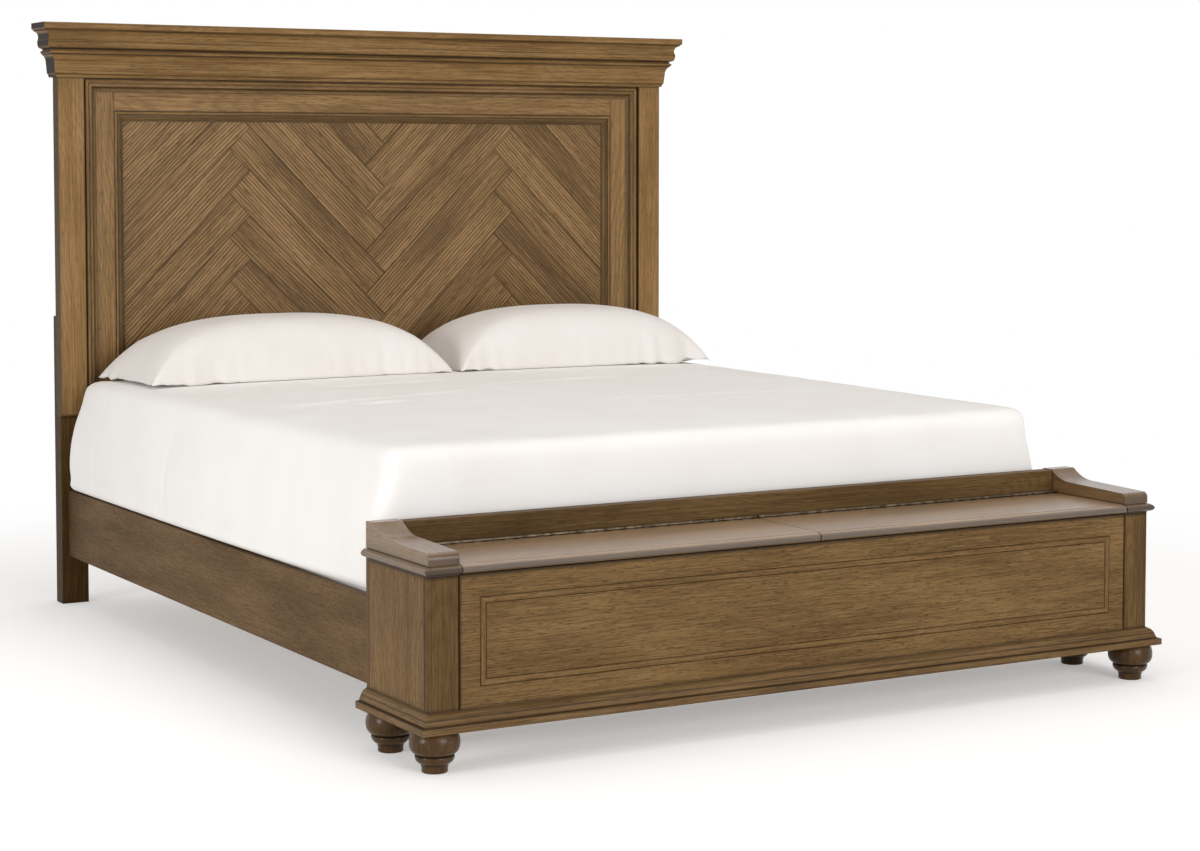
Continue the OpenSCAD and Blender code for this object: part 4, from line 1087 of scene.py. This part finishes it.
@dataclass
class Studio:
    """The pale room: a white floor, soft lamps and the camera at the photograph's angle."""

    # The camera, as it was fitted to the photograph
    eye: tuple[float, float, float] = (-3.3357, -5.994, 1.3097)
    yaw_deg: float = 29.951
    pitch_deg: float = -3.313
    lens_mm: float = 75.627
    shift_y: float = -0.1
    # The floor, the round part of it that keeps shadows, the share of that part that is not faded,
    # and the floor's own glow
    floor_radius: float = 14.0
    pool_radius: float = 3.4
    pool_core: float = 0.45
    floor_glow: float = 0.31
    world_light: float = 0.47

    def camera(self) -> None:
        """Makes the camera, level but for a slight tilt, with no blur."""
        data = bpy.data.cameras.new("camera")
        data.sensor_width = 36.0
        data.lens = self.lens_mm
        data.shift_y = self.shift_y
        data.clip_end = 200.0
        data.dof.use_dof = False
        camera = bpy.data.objects.new("camera", data)
        camera.location = self.eye
        camera.rotation_euler = (math.radians(90 + self.pitch_deg), 0, -math.radians(self.yaw_deg))
        bpy.context.scene.collection.objects.link(camera)
        bpy.context.scene.camera = camera

    def floor(self) -> None:
        """Makes the floor: it keeps the bed's shadow, and shows plain white further out."""
        body = bmesh.new()
        bmesh.ops.create_circle(body, cap_ends=True, segments=96, radius=self.floor_radius)
        floor = finish_piece("studio_floor", body, smooth=False)
        material, tree = new_material("matte_white_floor")
        rays = add_node(tree, "LightPath").node.outputs
        seen = add_node(tree, "Math", (rays["Is Camera Ray"], rays["Is Glossy Ray"]), operation="MAXIMUM")
        place = add_node(tree, "TexCoord", out="Object")
        away = add_node(tree, "VectorMath", [place], "Value", operation="LENGTH")
        far = add_node(tree, "MapRange", (away, self.pool_radius * self.pool_core, self.pool_radius),
                       interpolation_type="SMOOTHSTEP")
        glow = add_node(tree, "Math", (seen, self.floor_glow), operation="MULTIPLY")
        matte = add_node(tree, "BsdfPrincipled", {
            "Base Color": "#F2F1F1", "Roughness": 1.0, "Specular IOR Level": 0.0,
            "Emission Color": "#FFFFFF", "Emission Strength": glow})
        white = add_node(tree, "Emission", ("#FFFFFF", 1.0))
        plain = add_node(tree, "Math", (far, seen), operation="MULTIPLY")
        mixed = add_node(tree, "MixShader", (plain, matte, white))
        add_node(tree, "OutputMaterial", [mixed])
        floor.data.materials.append(material)

    def world(self) -> None:
        """Makes the surrounding light: even and soft, and plain white where the camera sees it."""
        world = bpy.data.worlds.new("studio_air")
        bpy.context.scene.world = world
        world.use_nodes = True
        tree = world.node_tree
        tree.nodes.clear()
        rays = add_node(tree, "LightPath").node.outputs
        seen = add_node(tree, "Math", (rays["Is Glossy Ray"], rays["Is Transmission Ray"]),
                        operation="MAXIMUM")
        seen = add_node(tree, "Math", (rays["Is Camera Ray"], seen), operation="MAXIMUM")
        strength = add_node(tree, "Math", (seen, 1 - self.world_light, self.world_light),
                            operation="MULTIPLY_ADD")
        sky = add_node(tree, "Background", ("#FFFFFF", strength))
        add_node(tree, "OutputWorld", [sky])

    def lamp(self, name: str, place: Sequence[float], aim: Sequence[float], size: float, power: float,
             spread: float = 180, colour: str = "#FFFFFF") -> None:
        """Makes one soft lamp.

        Args:
            name: The lamp's name.
            place: Where it hangs.
            aim: The point that it faces.
            size: The edge of its square face.
            power: Its power in watts.
            spread: The angle over which its grid lets light out, in degrees.
            colour: Its colour.
        """
        data = bpy.data.lights.new(name, "AREA")
        data.shape, data.size, data.energy = "SQUARE", size, power
        data.spread = math.radians(spread)
        data.color = linear(colour)[:3]
        lamp = bpy.data.objects.new(name, data)
        lamp.location = place
        lamp.rotation_euler = (Vector(aim) - Vector(place)).to_track_quat("-Z", "Y").to_euler()
        bpy.context.scene.collection.objects.link(lamp)

    def build(self) -> None:
        """Makes the whole studio."""
        bpy.context.scene.view_settings.view_transform = "Standard"
        self.camera()
        self.floor()
        self.world()
        # Daylight from the left, the pale room before the bed, and a warm ceiling
        self.lamp("key_softbox", (-7.4, -2.0, 1.6), (-1.0, -0.35, 0.3), size=2.2, power=39.5,
                  spread=75, colour="#FFFEFC")
        self.lamp("front_softbox", (1.2, -9.6, 2.5), (0, 0.6, 0.8), size=4.0, power=432)
        self.lamp("ceiling_softbox", (0.3, 0.3, 6.0), (0, 0, 0), size=5.0, power=84, colour="#FFF4E8")


# Light oak of the headboard's frame, wiped with glaze: warm, open grained, hardly shining
GLAZED_OAK = OakFinish("glazed_oak", "#9F7E55", "#8D6E45", "#6A4E2D")
# The crown: quieter grain with long streaks, and painted shade on the end faces of its returns
CROWN_OAK = OakFinish("glazed_and_side_shaded_oak_crown", figure=0.3, pores=0.45, mottle_mm=200, roughness=0.42,
                      gloss=0.06, streaks=0.7, ends=1.0)
# The upright boards at the headboard's ends: calm grain, with painted shade where they turn to the side
PILASTER_OAK = OakFinish("glazed_and_side_shaded_oak_pilaster", "#A07E55", "#8E6F46", "#70532F", figure=0.3, pores=0.4,
                         gloss=0.08, ends=0.75)
# The plinth moulding: one step darker than the bench over it
BASE_OAK = OakFinish("glazed_oak_base", "#806544", "#6F5636", "#513C23", figure=0.25, pores=0.5,
                     mottle_mm=200, roughness=0.42, gloss=0.1, streaks=0.6)
# The two mouldings round the field: a shade deeper, with a soft light along their rounds
TRIM_OAK = OakFinish("glazed_oak_trim", "#8F714B", "#7E623D", "#5E4528", figure=0.3, pores=0.45,
                     mottle_mm=200, roughness=0.42, gloss=0.12)
# The headboard's legs: a dark stain, darkened further as painted shade behind the pilasters, with more
# painted shade on the faces that look to the side
LEG_OAK = OakFinish("dark_glazed_and_shaded_oak_leg", "#664C2A", "#543D20", "#3E2C14", "#201508", figure=0.35,
                    gloss=0.06, ends=0.45)
# The bench's back, out of sight: the same dark stain, a little lighter
DARK_OAK = OakFinish("dark_glazed_oak", "#6F5638", "#5C472C", "#42301B", "#24180C", figure=0.35)
# The bench's panels: short dark dashes in an even grain
BENCH_OAK = OakFinish("glazed_oak_bench", "#866943", "#725835", "#543E21", figure=0.16, ring_mm=6.5,
                      streaks=0.6, streak_mm=2.7, streak_length_mm=120, pores=0.6, pore_length_mm=18,
                      gloss=0.1)
# The bench's posts and back rail: darker than the panels that they frame
POST_OAK = OakFinish("darker_glazed_oak_post", "#6F5736", "#5E482B", "#45321B", figure=0.3, ring_mm=6.5,
                     streaks=0.5, pores=0.5, gloss=0.06)
# The side rails: greyer and matte, with a short broken grain
RAIL_OAK = OakFinish("grey_brown_rail_oak", "#7A6248", "#68533A", "#503D29", "#32251A", figure=0.15,
                     streaks=0.45, streak_mm=2.8, streak_length_mm=90, pores=0.45, pore_length_mm=18,
                     roughness=0.5, gloss=0.03)
# The lids: pale oak under a full lacquer that mirrors the room at a low angle
TOP_OAK = OakFinish("lacquered_oak_top", "#A3815A", "#8E6E49", "#6C5031", figure=0.25, ring_mm=6.5,
                    pores=0.35, roughness=0.45, gloss=0.4, coat=1.0, coat_roughness=0.3, coat_ior=1.55)
# The arms and cap boards: brown oak under a thinner, sharper lacquer
ARM_OAK = OakFinish("lacquered_oak_arm", "#836747", "#72583A", "#563F25", figure=0.14, ring_mm=6.5,
                    pores=0.35, roughness=0.45, gloss=0.08, coat=0.85, coat_roughness=0.24, coat_ior=1.5)
# The turned feet: nearly black-brown, with a small bright light on each bulge
TURNED_OAK = OakFinish("turned_dark_wood", "#5D4425", "#4B341A", "#342410", "#1F1507", figure=0.25,
                       pores=0.3, roughness=0.34, gloss=0.1, coat=0.3, coat_roughness=0.16, mottle_mm=120)
# The slatted base: planed pine, pale yellow and dull
PINE = OakFinish("planed_pine", "#D2B485", "#C3A272", "#AE8B5C", "#94713F", figure=0.5, pores=0.15,
                 ring_mm=8.0, roughness=0.6)
# Fasteners and glides: cool grey zinc with a blurred shine
ZINC = MetalFinish("zinc_plated_steel", "#8E9196", "#7A7D82", 0.36)
# The lid stays: yellow brass gone dull
BRASS = MetalFinish("dulled_brass_plate", "#8C7A4E", "#6B5B38", 0.38)
# The hinges: dark bronzed steel that stays quiet in the joint behind the lids
PEWTER = MetalFinish("dark_bronzed_hinge_steel", "#6E6252", "#3F362B", 0.46)
BOARD = BoardFinish()
RUBBER = RubberFinish()


@dataclass
class SubAssembly:
    """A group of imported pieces, which keep their shapes and get their finishes here."""

    frame: dict

    def dress(self, node: str, material: bpy.types.Material) -> None:
        """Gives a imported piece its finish.

        Args:
            node: The piece's name.
            material: Its finish.
        """
        mesh = self.frame["nodes"][node].data
        mesh.materials.clear()
        mesh.materials.append(material)
        LOG.info("%s: %s", node, material.name)

    def wood(self, finish: OakFinish, node: str, grain: Axis, seed: float, *lines: GlazeAndShadeLine,
             mitre: Mitre | None = None) -> None:
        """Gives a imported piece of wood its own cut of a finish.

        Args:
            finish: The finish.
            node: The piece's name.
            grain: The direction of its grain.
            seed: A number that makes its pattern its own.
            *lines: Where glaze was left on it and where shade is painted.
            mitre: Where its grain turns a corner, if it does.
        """
        self.dress(node, finish.material(node, grain, seed, mitre, lines))


@dataclass
class Headboard(SubAssembly):
    """The headboard: pilasters, framed field, mitred mouldings, crown and legs."""

    moulding_width: float = 0.039
    # How far the crown's quirks and edges lie below its top, and where the painted shade under the crown lies
    # on the pilasters
    nose_drop: float = 0.021
    fillet_drop: float = 0.054
    cove_drop: float = 0.075
    frieze_drop: float = 0.090
    foot_drop: float = 0.148
    shadow_drop: float = 0.157

    def build(self) -> None:
        """Dresses the headboard's pieces."""
        low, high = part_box("outer_moulding")
        inner_low, inner_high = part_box("inner_moulding")
        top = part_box("crown_cap")[1].z
        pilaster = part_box("pilaster_right")
        for side, seed in (("left", 1.0), ("right", 2.4)):
            self.wood(PILASTER_OAK, f"pilaster_{side}", Axis.Z, seed,
                      GlazeAndShadeLine(Axis.X, high.x, 0.004, 0.75),
                      GlazeAndShadeLine(Axis.Z, top - self.shadow_drop, 0.006, 0.6),
                      GlazeAndShadeLine(Axis.Z, pilaster[0].z, 0.006, 0.7),
                      GlazeAndShadeLine(Axis.X, pilaster[1].x, 0.003, 0.5))
            # Painted shadow on the leg under the pilaster's end
            self.wood(LEG_OAK, f"leg_{side}", Axis.Z, seed + 4, GlazeAndShadeLine(Axis.Z, pilaster[0].z, 0.010, 0.7))
        joint = GlazeAndShadeLine(Axis.X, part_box("top_rail")[1].x, 0.0025, 0.6)
        quirk = GlazeAndShadeLine(Axis.Z, high.z - self.moulding_width, 0.005, 0.6)
        self.dress("headboard_stiles", GLAZED_OAK.material("stiles", Axis.Z, 3.1, None, (
            joint, GlazeAndShadeLine(Axis.X, high.x - self.moulding_width, 0.005, 0.6), quirk)))
        self.wood(GLAZED_OAK, "top_rail", Axis.X, 4.2, joint, quirk,
                  GlazeAndShadeLine(Axis.Z, inner_high.z, 0.005, 0.7))
        self.wood(GLAZED_OAK, "bottom_rail", Axis.X, 5.3, joint)
        self.wood(TRIM_OAK, "outer_moulding", Axis.X, 6.1,
                  GlazeAndShadeLine(Axis.Y, low.y + 0.013, 0.005, 0.85),
                  GlazeAndShadeLine(Axis.Y, low.y + 0.0205, 0.0035, 0.7),
                  mitre=Mitre.of_frame(low, high, open_below=True))
        self.wood(TRIM_OAK, "inner_moulding", Axis.X, 7.7,
                  GlazeAndShadeLine(Axis.Y, inner_low.y + 0.005, 0.003, 0.75),
                  GlazeAndShadeLine(Axis.Y, inner_high.y - 0.005, 0.004, 0.6),
                  mitre=Mitre.of_frame(inner_low, inner_high))
        turn = Mitre.of_return(pilaster[1].x, pilaster[0].y)
        self.wood(CROWN_OAK, "crown_cap", Axis.X, 8.3,
                  GlazeAndShadeLine(Axis.Z, top - self.nose_drop, 0.004),
                  GlazeAndShadeLine(Axis.Z, top - self.cove_drop, 0.007, 0.9),
                  GlazeAndShadeLine(Axis.Z, top - self.fillet_drop, 0.003, 0.5), mitre=turn)
        self.wood(CROWN_OAK, "crown_frieze", Axis.X, 9.9,
                  GlazeAndShadeLine(Axis.Z, top - self.frieze_drop, 0.004),
                  GlazeAndShadeLine(Axis.Z, top - self.foot_drop, 0.004, 0.6), mitre=turn)
        for node, seed in (("headboard_core", 1.0), ("crown_core", 2.0)):
            self.dress(node, BOARD.material(node, Axis.X, seed))
        HerringboneField().build()


@dataclass
class BedFrame(SubAssembly):
    """The side rails and the slatted base with its centre beam and legs."""

    def build(self) -> None:
        """Dresses the rails and the base."""
        for side, seed in (("left", 1.6), ("right", 3.8)):
            low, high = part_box(f"side_rail_{side}")
            # The wide line at the head end is painted shade, darker towards the headboard
            self.wood(RAIL_OAK, f"side_rail_{side}", Axis.Y, seed,
                      GlazeAndShadeLine(Axis.Z, low.z, 0.004, 0.5), GlazeAndShadeLine(Axis.Y, high.y, 0.25, 0.3))
        for node, grain, seed in (("slats", Axis.X, 2.0), ("slat_ledgers", Axis.Y, 3.0),
                                  ("centre_beam", Axis.Y, 4.0), ("centre_legs", Axis.Z, 5.0)):
            self.wood(PINE, node, grain, seed)
        metal = ZINC.material(Axis.Z)
        for node in ("centre_glides", "rail_brackets", "frame_bolts"):
            self.dress(node, metal)


@dataclass
class StorageBench(SubAssembly):
    """The bench at the foot: its panelled case, mouldings, lids, arms and turned feet."""

    def build(self) -> None:
        """Dresses the bench's pieces."""
        front, side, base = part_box("front_panel"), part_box("side_panel_right"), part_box("base_moulding")
        lid, arm_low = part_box("lid_right"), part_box("arm_right")[0]
        turn = Mitre.of_return(side[1].x, front[0].y)
        # Painted shadow: the dark line just under the lids
        shadow_under_lid = GlazeAndShadeLine(Axis.Z, front[1].z, 0.010, 1.0)
        over_base = GlazeAndShadeLine(Axis.Z, base[1].z, 0.007, 0.6)
        joint = GlazeAndShadeLine(Axis.X, front[1].x, 0.006, 0.85)
        side_joint = GlazeAndShadeLine(Axis.Y, side[0].y, 0.004, 0.8)
        nose = GlazeAndShadeLine(Axis.Y, lid[0].y, 0.010, 0.8)
        lid_end, lid_gap = GlazeAndShadeLine(Axis.X, lid[1].x, 0.004, 0.8), GlazeAndShadeLine(Axis.X, 0.0, 0.004, 0.7)
        for name, seed in (("left", 1.2), ("right", 5.5)):
            self.wood(POST_OAK, f"post_{name}", Axis.Z, seed, joint, shadow_under_lid, over_base, side_joint)
            self.wood(BENCH_OAK, f"side_panel_{name}", Axis.Z, seed + 2, shadow_under_lid, over_base, side_joint,
                      GlazeAndShadeLine(Axis.Y, side[1].y, 0.004, 0.7))
            # On the cap boards, the line at the lids' underside is painted shadow
            self.wood(ARM_OAK, f"cap_board_{name}", Axis.X, seed + 3, nose,
                      GlazeAndShadeLine(Axis.Z, lid[0].z, 0.012, 1.0),
                      GlazeAndShadeLine(Axis.X, side[1].x - 0.0025, 0.003, 0.8), lid_end, mitre=turn)
            self.wood(ARM_OAK, f"arm_{name}", Axis.Y, seed + 4,
                      GlazeAndShadeLine(Axis.Z, arm_low.z, 0.005, 0.75), GlazeAndShadeLine(Axis.Y, arm_low.y, 0.006, 0.5))
            self.wood(TOP_OAK, f"lid_{name}", Axis.X, seed + 5, nose, lid_end, lid_gap)
        channel = GlazeAndShadeLine(Axis.Y, front[0].y + 0.004, 0.0039, 1.0)
        self.wood(BENCH_OAK, "front_panel", Axis.X, 6.0, channel, joint, shadow_under_lid, over_base)
        self.wood(BENCH_OAK, "panel_bead", Axis.X, 2.2, GlazeAndShadeLine(Axis.Y, front[0].y + 0.0035, 0.0055, 1.0),
                  mitre=Mitre.of_frame(*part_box("panel_bead")))
        self.wood(BASE_OAK, "base_moulding", Axis.X, 4.6,
                  GlazeAndShadeLine(Axis.Z, base[1].z - 0.014, 0.003, 0.75),
                  GlazeAndShadeLine(Axis.Z, base[0].z + 0.0165, 0.0035, 0.8),
                  GlazeAndShadeLine(Axis.Z, base[1].z, 0.003, 0.6), GlazeAndShadeLine(Axis.Z, base[0].z, 0.003, 0.5),
                  mitre=turn)
        self.wood(POST_OAK, "gallery_rail", Axis.X, 8.0,
                  GlazeAndShadeLine(Axis.Z, arm_low.z, 0.007, 0.7), GlazeAndShadeLine(Axis.X, lid[1].x, 0.006, 0.6))
        self.wood(TOP_OAK, "hinge_rail", Axis.X, 9.0)
        self.wood(DARK_OAK, "back_panel", Axis.X, 3.0)
        for node, axis in (("end_panels", Axis.Y), ("bottom_panel", Axis.X), ("divider", Axis.Y)):
            self.dress(node, BOARD.material(node, axis, 4.0))
        self.wood(PINE, "corner_blocks", Axis.Z, 6.0)
        self.wood(TURNED_OAK, "bun_feet", Axis.Z, 2.0,
                  GlazeAndShadeLine(Axis.Z, 0.0175, 0.003, 0.7), GlazeAndShadeLine(Axis.Z, 0.0385, 0.005, 0.9))
        self.dress("foot_bolts", ZINC.material(Axis.Z))
        self.dress("lid_bumpers", RUBBER.material())


@dataclass
class LidHardware(SubAssembly):
    """The continuous hinges and the folding stays of the two lids."""

    def build(self) -> None:
        """Dresses the hinges and the stays."""
        brass, zinc, bronzed = BRASS.material(Axis.X), ZINC.material(Axis.Y), PEWTER.material(Axis.Z)
        for node in ("hinge_fixed_leaves", "hinge_lid_leaf_left", "hinge_lid_leaf_right"):
            self.dress(node, bronzed)
        for node in ("stay_lower_left", "stay_lower_right", "stay_upper_left", "stay_upper_right"):
            self.dress(node, brass)
        for node in ("hinge_pins", "stay_box_plates", "stay_lid_bracket_left", "stay_lid_bracket_right"):
            self.dress(node, zinc)


def main() -> None:
    """Loads the frame and builds the bed's sub-assemblies and the studio in order."""
    logging.basicConfig(level=logging.INFO, format="%(name)s: %(message)s")
    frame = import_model()
    for part in (Headboard(frame), BedFrame(frame), StorageBench(frame), LidHardware(frame)):
        part.build()
    Bedding().build()
    Studio().build()


if __name__ == "__main__":
    main()
